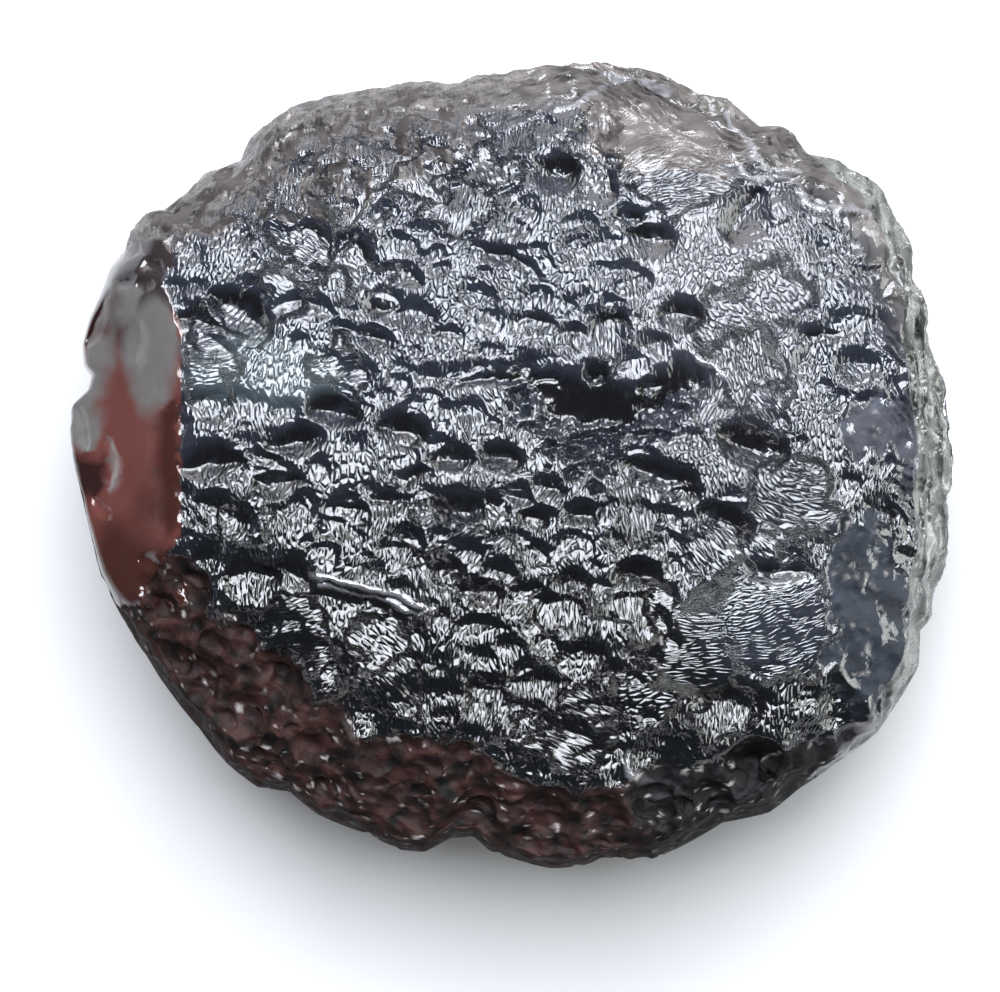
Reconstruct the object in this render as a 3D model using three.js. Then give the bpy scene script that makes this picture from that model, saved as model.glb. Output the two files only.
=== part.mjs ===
// Tektite: one natural stone of dark impact glass, lying with its sculpted face up.
// Lengths are in millimetres, angles in degrees, +Z is up, +X is right and +Y is the upper edge.
// The stone is a thick button: a gently domed face cut by scoops, a steep right flank, one clean
// chipped facet on the left, a pitted bevel below and a rounded, pitted back with a flat spot.

import * as THREE from 'three';
import { mergeVertices } from 'three/addons/utils/BufferGeometryUtils.js';

// Driving sizes of the whole stone.
const MIDDLE_HEIGHT = 8.4;
const FACE_RISE = 8.0;
const BACK_DROP = 9.2;
const FLAT_SPOT_RADIUS = 6.0;
const MESH_DETAIL = 21;

// How the face rounds over into the rim.
const SHOULDER = 14;
const SHOULDER_TOP_DROP = 8.8;
const SHOULDER_ROUNDING = 0.58;
const BACK_SHOULDER = 2.9;
const BACK_ROUNDING = 0.62;

// The share of the surface given to the face, and how far the rim is drawn together.
const FACE_SPLIT = -0.32;
const RIM_CROWDING = 0.7;

// The clean chipped facet on the left.
const FACET_EDGE = -17.3;
const FACET_EDGE_HEIGHT = 15.4;
const FACET_SLOPE = 0.75;
const FACET_LEAN = -0.05;
const FACET_CURVE = 0.006;
const FACET_HOLLOW = 0.25;

// The broad bevel from the left round to the lower right, the narrow steep flank on the right, and the
// gentle falls of the face toward the lower right and the bottom: the direction of the middle, how far it spreads to each side, the share of the way in from the rim, the
// height of its crest, its slope and its rounding.
const BEVELS = [
  { middle: 246, spread: 78, share: 0.25, crest: 15.2, slope: 0.52, rounding: 0.95 },
  { middle: 5, spread: 45, share: 0.12, crest: 15.1, slope: 2.6, rounding: 0.85 },
  { middle: -23, spread: 35, share: 0.31, crest: 16.1, slope: 0.36, rounding: 1.15 },
  { middle: 262, spread: 95, share: 0.6, crest: 16.4, slope: 0.16, rounding: 1 },
];

// Scoops in the face have a steep wall on one side and a floor that climbs back to the face.
const SCOOP_DEPTH = 0.5;
const WALL_SLOPE = 0.6;

// A place takes the mean depth of seven places this close to it, so that small scoops keep an even edge.
const EVENING_REACH = 0.3;

// Round pits over the back, between two heights of a unit sphere.
const PIT_SEED = 20711;
const PIT_COUNT = 90;
const PIT_HIGHEST = -0.36;
const PIT_LOWEST = -0.92;
const PIT_RADIUS_MIN = 1.7;
const PIT_RADIUS_MAX = 3.9;
const PIT_DEPTH_SHARE = 0.3;

const GLASS_COLOUR = 0x2b2a31;
const GLASS_ROUGHNESS = 0.32;

// The outline seen from above, x and y, anticlockwise from the right.
const OUTLINE = [
  [23.0, -0.6],
  [22.9, 1.2],
  [22.7, 2.5],
  [22.4, 4.6],
  [22.0, 5.9],
  [21.6, 7.0],
  [21.8, 8.2],
  [21.2, 9.7],
  [20.6, 11.7],
  [19.6, 13.4],
  [19.0, 14.5],
  [18.0, 15.1],
  [16.9, 15.8],
  [15.3, 16.1],
  [14.6, 17.1],
  [14.0, 17.5],
  [12.8, 17.5],
  [12.0, 18.2],
  [11.2, 19.0],
  [9.5, 19.3],
  [8.0, 20.2],
  [6.2, 20.7],
  [4.6, 21.0],
  [2.2, 21.0],
  [0.8, 20.6],
  [-1.7, 20.4],
  [-3.2, 20.0],
  [-6.0, 19.9],
  [-8.0, 19.5],
  [-10.0, 19.1],
  [-11.6, 18.6],
  [-12.8, 18.0],
  [-13.8, 16.9],
  [-14.3, 15.9],
  [-16.1, 15.1],
  [-17.1, 14.0],
  [-18.2, 13.1],
  [-19.1, 13.0],
  [-20.0, 12.0],
  [-20.3, 10.9],
  [-21.0, 10.0],
  [-21.5, 8.6],
  [-22.1, 7.2],
  [-22.4, 6.0],
  [-22.3, 4.9],
  [-21.9, 4.4],
  [-22.1, 3.6],
  [-22.9, 2.8],
  [-23.0, 1.6],
  [-22.8, 0.0],
  [-22.3, -2.0],
  [-21.9, -3.7],
  [-21.3, -6.0],
  [-20.6, -7.4],
  [-19.1, -9.9],
  [-17.9, -11.7],
  [-16.3, -13.7],
  [-14.8, -15.6],
  [-13.2, -16.8],
  [-11.6, -17.0],
  [-10.1, -18.2],
  [-7.5, -19.2],
  [-5.9, -20.0],
  [-4.6, -20.1],
  [-3.3, -19.4],
  [-2.1, -19.3],
  [-1.2, -20.1],
  [1.6, -20.9],
  [2.9, -21.0],
  [4.5, -20.5],
  [7.1, -20.5],
  [9.2, -19.5],
  [10.7, -18.6],
  [13.1, -18.1],
  [14.6, -16.9],
  [16.5, -15.6],
  [18.6, -14.1],
  [20.1, -12.0],
  [20.9, -10.6],
  [21.0, -8.7],
  [21.7, -8.1],
  [21.9, -6.6],
  [22.5, -5.4],
  [22.7, -3.4],
  [22.6, -1.9],
];

// Scoops in the face: x, y, half width, half length, depth, lean of the wall clockwise from +Y.
const SCOOPS = [
  // the deep wavy hollow across the middle
  [0.5, 3.0, 2.0, 1.8, 2.0, 0],
  [2.8, 2.2, 1.9, 2.2, 2.6, 0],
  [4.3, 2.7, 1.4, 2.2, 2.8, 0],
  [6.0, 1.7, 2.0, 2.1, 2.6, 0],
  [8.4, 2.9, 1.4, 1.8, 1.9, 12],
  [7.7, 1.9, 2.3, 1.6, 1.8, 0],
  [3.9, 1.2, 3.4, 1.7, 0.9, 0],
  // the double scoop at the upper left
  [-13.5, 6.9, 1.9, 1.6, 1.7, 32],
  [-15.4, 6.6, 1.4, 1.0, 1.4, 10],
  [-15.2, 5.6, 1.6, 0.8, 0.8, 30],
  // the upper left quarter
  [-10.2, 7.1, 1.2, 0.9, 0.8, 12],
  [-11.8, 14.6, 0.9, 0.9, 0.7, 0],
  [-10.6, 16.1, 1.1, 0.9, 0.5, 0],
  [-13.7, 13.0, 1.1, 0.9, 0.8, 12],
  [-9.7, 13.6, 0.9, 0.9, 0.8, 0],
  [-8.2, 13.6, 0.9, 0.9, 0.8, 10],
  [-8.6, 16.3, 0.9, 0.8, 0.5, 0],
  [-10.1, 10.1, 1.6, 1.4, 0.9, 40],
  [-7.9, 9.8, 1.3, 1.2, 1.0, 30],
  [-18.2, 9.0, 0.9, 0.9, 0.6, 0],
  [-6.3, 15.6, 0.9, 0.8, 0.6, 20],
  [-3.3, 14.0, 1.0, 1.2, 0.9, 35],
  [-1.3, 13.9, 1.2, 1.4, 0.9, 50],
  [-1.1, 12.2, 0.9, 0.8, 0.7, 30],
  [0.7, 11.9, 0.9, 0.9, 0.7, 20],
  [2.1, 14.1, 1.1, 1.3, 1.6, -10],
  [3.9, 15.9, 1.2, 1.4, 0.9, 0],
  [3.7, 14.0, 1.9, 1.5, 0.8, 75],
  [5.6, 11.8, 0.9, 0.8, 1.1, 0],
  [6.8, 10.5, 1.4, 1.4, 1.3, 8],
  [-0.8, 9.8, 0.9, 0.8, 0.9, 0],
  [0.4, 9.4, 0.9, 0.7, 0.8, 30],
  [-4.5, 11.0, 0.9, 0.8, 0.7, 20],
  [-5.3, 8.6, 0.9, 0.7, 0.8, 40],
  [-6.7, 7.4, 1.0, 0.8, 1.0, 0],
  [-5.0, 6.7, 1.4, 0.8, 0.8, 15],
  [-6.9, 5.5, 1.1, 0.8, 0.9, 20],
  [-3.2, 5.6, 1.0, 0.8, 0.6, 0],
  [0.8, 6.3, 1.1, 0.9, 0.8, 15],
  [4.7, 6.0, 1.1, 1.6, 1.2, 0],
  [2.9, 5.6, 1.1, 0.9, 0.7, 0],
  [6.8, 5.3, 1.0, 0.8, 0.8, -20],
  // the upper right quarter
  [11.4, 11.8, 1.5, 1.5, 1.0, -58],
  [17.4, 8.8, 0.9, 0.8, 0.7, -20],
  [18.4, 7.7, 0.9, 0.7, 0.6, 0],
  [15.3, 5.6, 1.2, 0.8, 0.9, -10],
  [17.3, 6.2, 1.6, 1.1, 0.6, 0],
  [8.3, 6.9, 1.1, 1.0, 1.2, 10],
  [14.7, 4.4, 1.3, 1.1, 0.8, -50],
  [16.9, 4.3, 1.2, 1.0, 0.8, 0],
  [18.4, 1.7, 2.3, 1.6, 0.6, 6],
  [8.4, 16.5, 3.6, 2.2, 0.7, 22],
  [14.7, 9.9, 2.6, 2.0, 0.4, 20],
  // the middle left
  [-9.0, 2.0, 1.5, 1.1, 1.7, 8],
  [-11.0, 0.7, 1.7, 0.9, 1.4, 0],
  [-14.9, -0.5, 1.8, 1.2, 1.6, 0],
  [-12.5, -0.1, 1.2, 0.8, 1.0, 0],
  [-14.6, 2.4, 2.4, 1.0, 0.7, 0],
  [-11.6, -1.3, 1.4, 0.9, 1.1, 0],
  [-14.3, -3.0, 1.8, 1.3, 1.2, 20],
  [-11.0, -2.8, 1.3, 0.8, 0.8, 0],
  [-8.3, -2.8, 1.1, 0.8, 0.8, 0],
  [-8.8, -3.7, 1.0, 0.8, 0.7, 20],
  [-15.1, -5.1, 1.1, 0.8, 0.9, 0],
  [-12.9, -6.2, 1.8, 1.5, 1.7, 0],
  [-11.0, -6.1, 1.2, 1.4, 1.3, 25],
  [-7.8, -8.6, 3.7, 2.1, 1.1, 18],
  [-10.5, -10.5, 2.4, 1.6, 0.7, 0],
  // the middle
  [-5.5, 1.1, 1.4, 1.1, 1.6, 6],
  [-3.3, -0.1, 1.1, 0.9, 1.2, 0],
  [-3.1, 2.0, 1.2, 0.7, 0.5, 0],
  [-0.8, -0.1, 1.2, 0.9, 1.2, 5],
  [-5.0, -1.2, 1.0, 0.8, 1.0, -30],
  [-6.2, -2.2, 1.1, 0.8, 0.9, 0],
  [-2.9, -2.6, 1.5, 1.0, 1.4, 0],
  [-1.2, -2.5, 0.9, 0.8, 0.9, 20],
  [-0.1, -2.1, 1.0, 0.7, 0.8, 10],
  [0.8, -3.3, 1.0, 0.9, 1.1, 25],
  [1.5, -1.8, 0.9, 0.9, 0.9, 20],
  [3.3, -3.1, 1.1, 0.9, 1.1, 0],
  [7.0, -1.0, 2.2, 1.1, 1.3, 8],
  [8.2, -1.8, 1.2, 0.9, 1.0, 0],
  [4.3, -1.6, 1.2, 1.0, 0.6, 0],
  [3.0, -4.8, 1.1, 0.9, 0.5, 0],
  [1.0, -5.0, 0.9, 0.8, 0.7, 20],
  [-3.3, -5.8, 1.0, 1.0, 1.1, 10],
  [-5.6, -5.4, 1.4, 1.3, 0.7, 10],
  [-1.8, -6.8, 1.3, 0.9, 1.2, 0],
  [0.4, -6.9, 0.9, 0.8, 0.8, 0],
  [2.7, -6.7, 1.1, 1.1, 1.1, 10],
  [5.9, -6.2, 1.2, 1.3, 1.4, 0],
  [2.2, -8.0, 1.5, 1.3, 1.0, 0],
  [5.8, -7.9, 1.5, 1.3, 0.8, 0],
  [-1.6, -9.0, 1.4, 1.1, 0.6, 0],
  // the middle right
  [11.7, 0.6, 2.1, 1.2, 1.7, 10],
  [10.3, -3.3, 1.5, 1.3, 1.6, 32],
  [12.8, -5.9, 1.6, 0.9, 1.0, 10],
  [18.0, -2.8, 1.1, 1.0, 1.0, 12],
  // the lower edge of the face
  [-4.1, -12.2, 1.5, 1.4, 0.8, 0],
  [-1.5, -12.2, 1.2, 1.5, 1.3, 0],
  [1.0, -11.6, 1.9, 1.1, 0.9, 0],
  [3.2, -10.5, 1.7, 1.3, 0.8, 0],
  [1.9, -14.0, 2.6, 1.2, 0.7, 20],
  [10.7, -12.6, 1.8, 1.7, 1.5, 10],
  [10.7, -15.6, 2.0, 1.3, 1.0, 0],
  [4.7, -15.3, 2.0, 1.3, 0.8, 10],
  [15.8, -13.7, 1.2, 1.1, 0.7, 0],
];

// Round pits in the bevel below and to the left: x, y, radius, depth.
const BEVEL_PITS = [
  [-17.5, -8.2, 1.3, 0.45],
  [-17.2, -10.4, 1.5, 0.45],
  [-15.2, -9.0, 1.3, 0.4],
  [-13.3, -8.7, 1.2, 0.45],
  [-15.3, -11.2, 1.5, 0.5],
  [-13.5, -12.8, 1.5, 0.45],
  [-12.5, -15.0, 1.6, 0.5],
  [-10.0, -13.8, 1.7, 0.4],
  [-9.0, -16.5, 1.5, 0.45],
  [-6.6, -14.7, 1.4, 0.4],
  [-5.3, -17.0, 1.7, 0.6],
  [-2.9, -15.4, 1.3, 0.4],
  [-1.6, -17.3, 1.4, 0.5],
  [0.6, -15.6, 1.1, 0.4],
  [1.5, -17.7, 1.6, 0.5],
  [4.2, -18.0, 1.5, 0.45],
  [6.9, -17.2, 1.6, 0.5],
  [8.8, -17.6, 1.3, 0.4],
  [14.3, -15.6, 1.4, 0.45],
  [12.8, -16.7, 1.2, 0.4],
  [17.2, -14.2, 1.1, 0.35],
  [7.4, -15.4, 1.9, 0.8],
  [12.0, -15.7, 1.7, 0.7],
  [14.7, -14.5, 1.5, 0.7],
  [16.2, -12.8, 1.4, 0.6],
  [9.8, -17.2, 1.2, 0.5],
  [-7.3, -13.0, 1.5, 0.6],
  [-11.6, -10.9, 1.4, 0.6],
  [-15.9, -7.0, 1.2, 0.5],
];

// Ledges that step down to the rim at the upper right: x, y, half width, half length, depth, lean.
const LEDGES = [
  [11.0, 16.9, 1.8, 1.3, 0.9, 45],
  [13.3, 15.2, 2.3, 1.1, 1.1, 35],
  [13.9, 13.5, 2.7, 1.0, 0.9, 40],
  [16.8, 13.2, 2.2, 1.1, 0.9, 45],
  [16.4, 11.5, 2.4, 1.1, 0.6, 48],
  [19.5, 10.0, 2.2, 1.1, 0.8, 70],
  [20.2, 6.4, 2.2, 1.2, 0.9, 80],
  [20.6, 4.3, 1.5, 1.2, 0.9, 80],
  [3.4, 18.7, 1.9, 1.0, 0.7, 10],
  [6.4, 19.0, 1.7, 0.8, 0.6, 15],
  [-0.2, 18.7, 1.8, 0.8, 0.6, 0],
];

const toRadians = Math.PI / 180;

// Numbers between 0 and 1 in a fixed order.
function fixedNumbers(seed) {
  let state = seed;
  return () => {
    state = (Math.imul(state, 1664525) + 1013904223) >>> 0;
    return state / 4294967296;
  };
}

const polarOutline = OUTLINE.map(([x, y]) => ({
  angle: (Math.atan2(y, x) + 2 * Math.PI) % (2 * Math.PI),
  radius: Math.hypot(x, y),
})).sort((first, second) => first.angle - second.angle);

// Distance from the middle to the outline in one direction.
function outlineRadius(angle) {
  const turn = (angle + 2 * Math.PI) % (2 * Math.PI);
  const count = polarOutline.length;
  let next = polarOutline.findIndex((point) => point.angle > turn);
  if (next < 0) next = 0;
  const before = polarOutline[(next + count - 1) % count];
  const after = polarOutline[next];
  const span = (after.angle - before.angle + 2 * Math.PI) % (2 * Math.PI);
  const share = ((turn - before.angle + 2 * Math.PI) % (2 * Math.PI)) / span;
  return before.radius + (after.radius - before.radius) * share;
}

// Height of the left facet above one place.
function facetHeight(x, y) {
  const out = FACET_EDGE + FACET_LEAN * y - FACET_CURVE * y * y - x;
  const across = Math.min(1, Math.max(0, out / 5));
  return FACET_EDGE_HEIGHT - FACET_SLOPE * out - FACET_HOLLOW * Math.sin(Math.PI * across);
}

// Height of a bevel in one direction, at one share of the way out to the rim.
function bevelHeight(angle, reach, rim, { middle, spread, share, crest, slope, rounding }) {
  const end = Math.cos(spread * toRadians);
  const facing = Math.max(0, (Math.cos(angle - middle * toRadians) - end) / (1 - end));
  const wide = Math.max(0.01, share * Math.sqrt(facing));
  const inward = Math.max(0, 1 - reach) / wide;
  return crest - slope * wide * rim * (1 - Math.pow(inward, rounding));
}

// A place on the smooth stone, before any scoop or pit, for one direction of a unit sphere.
function smoothStone(direction, target) {
  const angle = Math.atan2(direction.y, direction.x);
  const onFace = direction.z > FACE_SPLIT;
  const pole = onFace ? 1 - direction.z : 1 + direction.z;
  const whole = onFace ? 1 - FACE_SPLIT : 1 + FACE_SPLIT;
  const way = Math.sqrt(Math.min(1, Math.max(0, pole / whole)));
  const reach = way + RIM_CROWDING * way * way * (1 - way);
  const rim = outlineRadius(angle);
  const radius = rim * reach;
  const x = radius * Math.cos(angle);
  const y = radius * Math.sin(angle);
  if (onFace) {
    const top = Math.pow(Math.max(0, Math.sin(angle)), 1.5);
    const shoulder = SHOULDER - SHOULDER_TOP_DROP * top;
    const left = Math.max(0, 1 - Math.pow(reach, shoulder));
    const face = MIDDLE_HEIGHT + FACE_RISE * Math.pow(left, SHOULDER_ROUNDING);
    const facet = Math.max(MIDDLE_HEIGHT, facetHeight(x, y));
    const bevels = BEVELS.map((bevel) => Math.max(MIDDLE_HEIGHT, bevelHeight(angle, reach, rim, bevel)));
    return target.set(x, y, Math.min(face, facet, ...bevels));
  }
  const left = Math.max(0, 1 - Math.pow(reach, BACK_SHOULDER));
  return target.set(x, y, Math.max(0, MIDDLE_HEIGHT - BACK_DROP * Math.pow(left, BACK_ROUNDING)));
}

// Depth of one scoop at one place of the face.
function scoopDepth(x, y, [middleX, middleY, halfWidth, halfLength, depth, lean]) {
  const sine = Math.sin(lean * toRadians);
  const cosine = Math.cos(lean * toRadians);
  const across = ((x - middleX) * cosine - (y - middleY) * sine) / halfWidth;
  const along = ((x - middleX) * sine + (y - middleY) * cosine) / halfLength;
  if (across * across + along * along >= 1) return 0;
  const edge = Math.sqrt(1 - across * across);
  const fall = edge - along;
  const deepest = SCOOP_DEPTH * depth;
  const wall = Math.min(1.2, deepest / WALL_SLOPE / halfLength);
  return deepest * Math.min(fall / wall, (2 * edge - fall) / (2 - wall));
}

// Depth of the deepest scoop or ledge at one place of the face.
function faceDepth(x, y) {
  let depth = 0;
  for (const row of SCOOPS) depth = Math.max(depth, scoopDepth(x, y, row));
  for (const row of LEDGES) depth = Math.max(depth, scoopDepth(x, y, row));
  return depth;
}

// The same depth, evened out over the places close by.
function evenFaceDepth(x, y) {
  let sum = faceDepth(x, y);
  for (let turn = 0; turn < 6; turn += 1) {
    const angle = turn * 60 * toRadians;
    sum += faceDepth(x + EVENING_REACH * Math.cos(angle), y + EVENING_REACH * Math.sin(angle));
  }
  return sum / 7;
}

// Pits spread over the back, clear of the flat spot.
function spreadPits() {
  const number = fixedNumbers(PIT_SEED);
  const pits = [];
  for (let index = 0; index < PIT_COUNT; index += 1) {
    const height = PIT_HIGHEST + (PIT_LOWEST - PIT_HIGHEST) * (index + number()) / PIT_COUNT;
    const angle = index * 2.39996 + 0.5 * number();
    const ring = Math.sqrt(1 - height * height);
    const direction = new THREE.Vector3(ring * Math.cos(angle), ring * Math.sin(angle), height);
    const middle = smoothStone(direction, new THREE.Vector3());
    const radius = PIT_RADIUS_MIN + (PIT_RADIUS_MAX - PIT_RADIUS_MIN) * number() * number();
    pits.push({ middle, radius, depth: radius * PIT_DEPTH_SHARE });
  }
  return pits;
}

function buildStone() {
  const sphere = new THREE.IcosahedronGeometry(1, MESH_DETAIL);
  sphere.deleteAttribute('normal');
  sphere.deleteAttribute('uv');
  const stone = mergeVertices(sphere, 1e-4);
  const places = stone.attributes.position;
  const place = new THREE.Vector3();
  const direction = new THREE.Vector3();
  for (let index = 0; index < places.count; index += 1) {
    direction.fromBufferAttribute(places, index).normalize();
    smoothStone(direction, place);
    places.setXYZ(index, place.x, place.y, place.z);
  }
  stone.computeVertexNormals();

  const pits = spreadPits();
  const outward = new THREE.Vector3();
  const carved = new Float32Array(places.array);
  for (let index = 0; index < places.count; index += 1) {
    place.fromBufferAttribute(places, index);
    outward.fromBufferAttribute(stone.attributes.normal, index);
    const onTop = THREE.MathUtils.smoothstep(outward.z, 0.2, 0.6);

    const scoop = onTop > 0 ? onTop * evenFaceDepth(place.x, place.y) : 0;

    let pit = 0;
    const onBevel = THREE.MathUtils.smoothstep(outward.z, 0.15, 0.5);
    for (const [middleX, middleY, radius, depth] of BEVEL_PITS) {
      const gap = Math.hypot(place.x - middleX, place.y - middleY) / radius;
      pit = Math.max(pit, onBevel * depth * (1 - gap * gap));
    }
    for (const { middle, radius, depth } of pits) {
      const gap = place.distanceTo(middle) / radius;
      pit = Math.max(pit, depth * (1 - gap * gap));
    }
    const fromFlat = Math.hypot(place.x, place.y) - FLAT_SPOT_RADIUS;
    if (outward.z < 0) pit *= THREE.MathUtils.smoothstep(fromFlat, 0, 2.5);

    place.addScaledVector(outward, -pit);
    place.z = Math.max(0, place.z - scoop);
    carved.set([place.x, place.y, place.z], index * 3);
  }
  places.array.set(carved);

  stone.computeBoundingBox();
  const middle = stone.boundingBox.getCenter(new THREE.Vector3());
  stone.translate(-middle.x, -middle.y, 0);
  stone.computeVertexNormals();
  return stone;
}

const glass = new THREE.MeshStandardMaterial({
  name: 'tektite_glass',
  color: GLASS_COLOUR,
  roughness: GLASS_ROUGHNESS,
  metalness: 0,
});

const tektite = new THREE.Mesh(buildStone(), glass);
tektite.name = 'tektite';

const part = new THREE.Group();
part.name = 'tektite_stone';
part.add(tektite);

export default part;
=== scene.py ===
import math
from collections import namedtuple
from types import SimpleNamespace

import bpy
import numpy as np
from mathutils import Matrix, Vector


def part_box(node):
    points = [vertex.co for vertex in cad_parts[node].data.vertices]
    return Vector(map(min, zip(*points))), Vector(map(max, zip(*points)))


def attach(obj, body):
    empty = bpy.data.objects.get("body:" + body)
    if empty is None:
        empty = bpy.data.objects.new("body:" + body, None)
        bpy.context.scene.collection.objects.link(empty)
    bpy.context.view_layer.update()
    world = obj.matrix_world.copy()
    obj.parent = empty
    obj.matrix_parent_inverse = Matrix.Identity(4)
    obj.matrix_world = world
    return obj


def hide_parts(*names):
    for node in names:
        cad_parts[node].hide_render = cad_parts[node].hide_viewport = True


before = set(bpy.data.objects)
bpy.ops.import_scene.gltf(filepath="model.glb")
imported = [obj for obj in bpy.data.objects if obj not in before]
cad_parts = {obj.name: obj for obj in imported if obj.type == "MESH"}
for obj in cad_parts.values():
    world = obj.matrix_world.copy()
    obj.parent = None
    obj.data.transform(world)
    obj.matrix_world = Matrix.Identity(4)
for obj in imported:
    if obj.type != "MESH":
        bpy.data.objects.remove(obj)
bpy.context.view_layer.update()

# The tektite: one stone of dark impact glass that lies with its sculpted face up. The main forms of the CAD
# solid are worked out again here on a finer mesh, in millimetres and in the CAD frame (+X right and +Y up
# in the photograph, +Z out of the face), and the fine relief is added.
MM = 0.001

# ---- the smooth stone
MIDDLE_HEIGHT = 8.4
FACE_RISE = 8.0
BACK_DROP = 9.2
FLAT_SPOT_RADIUS = 6.0
FLAT_SPOT_FADE = 2.5
SHOULDER = 14.0
SHOULDER_TOP_DROP = 8.8
SHOULDER_ROUNDING = 0.58
BACK_SHOULDER = 2.9
BACK_ROUNDING = 0.62
CREST_ROUNDING = 0.25
FACE_WAVE = 0.35
RIM_CROWDING = 0.7

# The clean chipped facet on the left: its upper edge, its slope, and how far it runs along y.
FACET_EDGE = -17.3
FACET_EDGE_HEIGHT = 15.4
FACET_SLOPE = 0.75
FACET_LEAN = -0.05
FACET_CURVE = 0.006
FACET_HOLLOW = 0.25
FACET_HOLLOW_WIDTH = 5
FACET_OVERLAP = 0.8
FACET_BOTTOM = -7.5
FACET_TOP = 11
# A normal on the facet has no more x and no less z than this.
FACET_MOST_X = -0.35
FACET_LEAST_Z = 0.2

# Bevels and gentle falls of the face: direction in degrees, how far it spreads to each side, share of the
# way in from the rim, height of its crest, slope, rounding, how uneven its crest is.
Bevel = namedtuple("Bevel", "direction spread share crest slope rounding uneven")
LOWER_BEVEL = Bevel(246, 78, 0.25, 15.2, 0.52, 0.95, 1.5)
RIGHT_FLANK = Bevel(5, 45, 0.12, 15.1, 2.6, 0.85, 0.25)
RIGHT_FALL = Bevel(-23, 35, 0.235, 16.1, 0.475, 1.15, 0.5)
BOTTOM_FALL = Bevel(262, 95, 0.6, 16.4, 0.16, 1.0, 0.3)
LEAST_BEVEL_SHARE = 0.01

# The fine mesh, and the height on a unit ball where the face starts, there and in the CAD solid.
ROWS_PER_EDGE = 165
FINE_FACE_SPLIT = -0.5
CAD_FACE_SPLIT = -0.32
MOST_TRIANGLES = 197000

# The outline seen from above, x and y, anticlockwise from the right.
OUTLINE = np.array([
    (23, -0.6), (22.9, 1.2), (22.7, 2.5), (22.4, 4.6), (22, 5.9), (21.6, 7), (21.8, 8.2), (21.2, 9.7),
    (20.6, 11.7), (19.6, 13.4), (19, 14.5), (18, 15.1), (16.9, 15.8), (15.3, 16.1), (14.6, 17.1),
    (14, 17.5), (12.8, 17.5), (12, 18.2), (11.2, 19), (9.5, 19.3), (8, 20.2), (6.2, 20.7), (4.6, 21),
    (2.2, 21), (0.8, 20.6), (-1.7, 20.4), (-3.2, 20), (-6, 19.9), (-8, 19.5), (-10, 19.1), (-11.6, 18.6),
    (-12.8, 18), (-13.8, 16.9), (-14.3, 15.9), (-16.1, 15.1), (-17.1, 14), (-18.2, 13.1), (-19.1, 13),
    (-20, 12), (-20.3, 10.9), (-21, 10), (-21.5, 8.6), (-22.1, 7.2), (-22.4, 6), (-22.3, 4.9),
    (-21.9, 4.4), (-22.1, 3.6), (-22.9, 2.8), (-23, 1.6), (-22.8, 0), (-22.3, -2), (-21.9, -3.7),
    (-21.3, -6), (-20.6, -7.4), (-19.1, -9.9), (-17.9, -11.7), (-16.3, -13.7), (-14.8, -15.6),
    (-13.2, -16.8), (-11.6, -17), (-10.1, -18.2), (-7.5, -19.2), (-5.9, -20), (-4.6, -20.1),
    (-3.3, -19.4), (-2.1, -19.3), (-1.2, -20.1), (1.6, -20.9), (2.9, -21), (4.5, -20.5), (7.1, -20.5),
    (9.2, -19.5), (10.7, -18.6), (13.1, -18.1), (14.6, -16.9), (16.5, -15.6), (18.6, -14.1), (20.1, -12),
    (20.9, -10.6), (21, -8.7), (21.7, -8.1), (21.9, -6.6), (22.5, -5.4), (22.7, -3.4), (22.6, -1.9),
])
OUTLINE_ANGLES = np.arctan2(OUTLINE[:, 1], OUTLINE[:, 0]) % (2 * math.pi)
OUTLINE_ORDER = np.argsort(OUTLINE_ANGLES)
OUTLINE_RADII = np.hypot(OUTLINE[:, 0], OUTLINE[:, 1])[OUTLINE_ORDER]
OUTLINE_ANGLES = OUTLINE_ANGLES[OUTLINE_ORDER]

# ---- scoops, pits and ridges
# How steep the walls and floors of the scoops and of the long hollow are. A wall counts as wall down to a
# ragged edge: WALL_REACH is the least share of it, and how much the noise adds.
SCOOP_DEPTH = 0.5
WALL_SLOPE = 0.6
WIDEST_WALL = 1.2
WALL_REACH = (0.35, 1.2)
HOLLOW_WALL_SLOPE = 0.45
HOLLOW_FLOOR_SLOPE = 0.36
HOLLOW_FOOT_DROP = 0.35
HOLLOW_WARP = 0.4

# The deep wavy hollow across the middle: x, y of the edge that its wall falls from, y of the wall's foot.
HOLLOW = [
    (-2.1, 4.7, 4.63), (-1.6, 4.65, 4.46), (-0.4, 4.53, 4.08), (0.8, 4.82, 3.59), (1.9, 4.56, 2.6),
    (2.5, 4.22, 2.02), (3.4, 4.22, 1.72), (4.2, 4.82, 1.83), (4.9, 4.22, 2.02), (5.4, 3.57, 2.14),
    (5.7, 3.63, 2.19), (6.5, 3.88, 2.42), (7.2, 4.3, 2.99), (8, 4.73, 3.77), (8.5, 4.94, 3.99),
    (8.9, 4.8, 4.15), (9.6, 4.01, 3.95),
]
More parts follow.
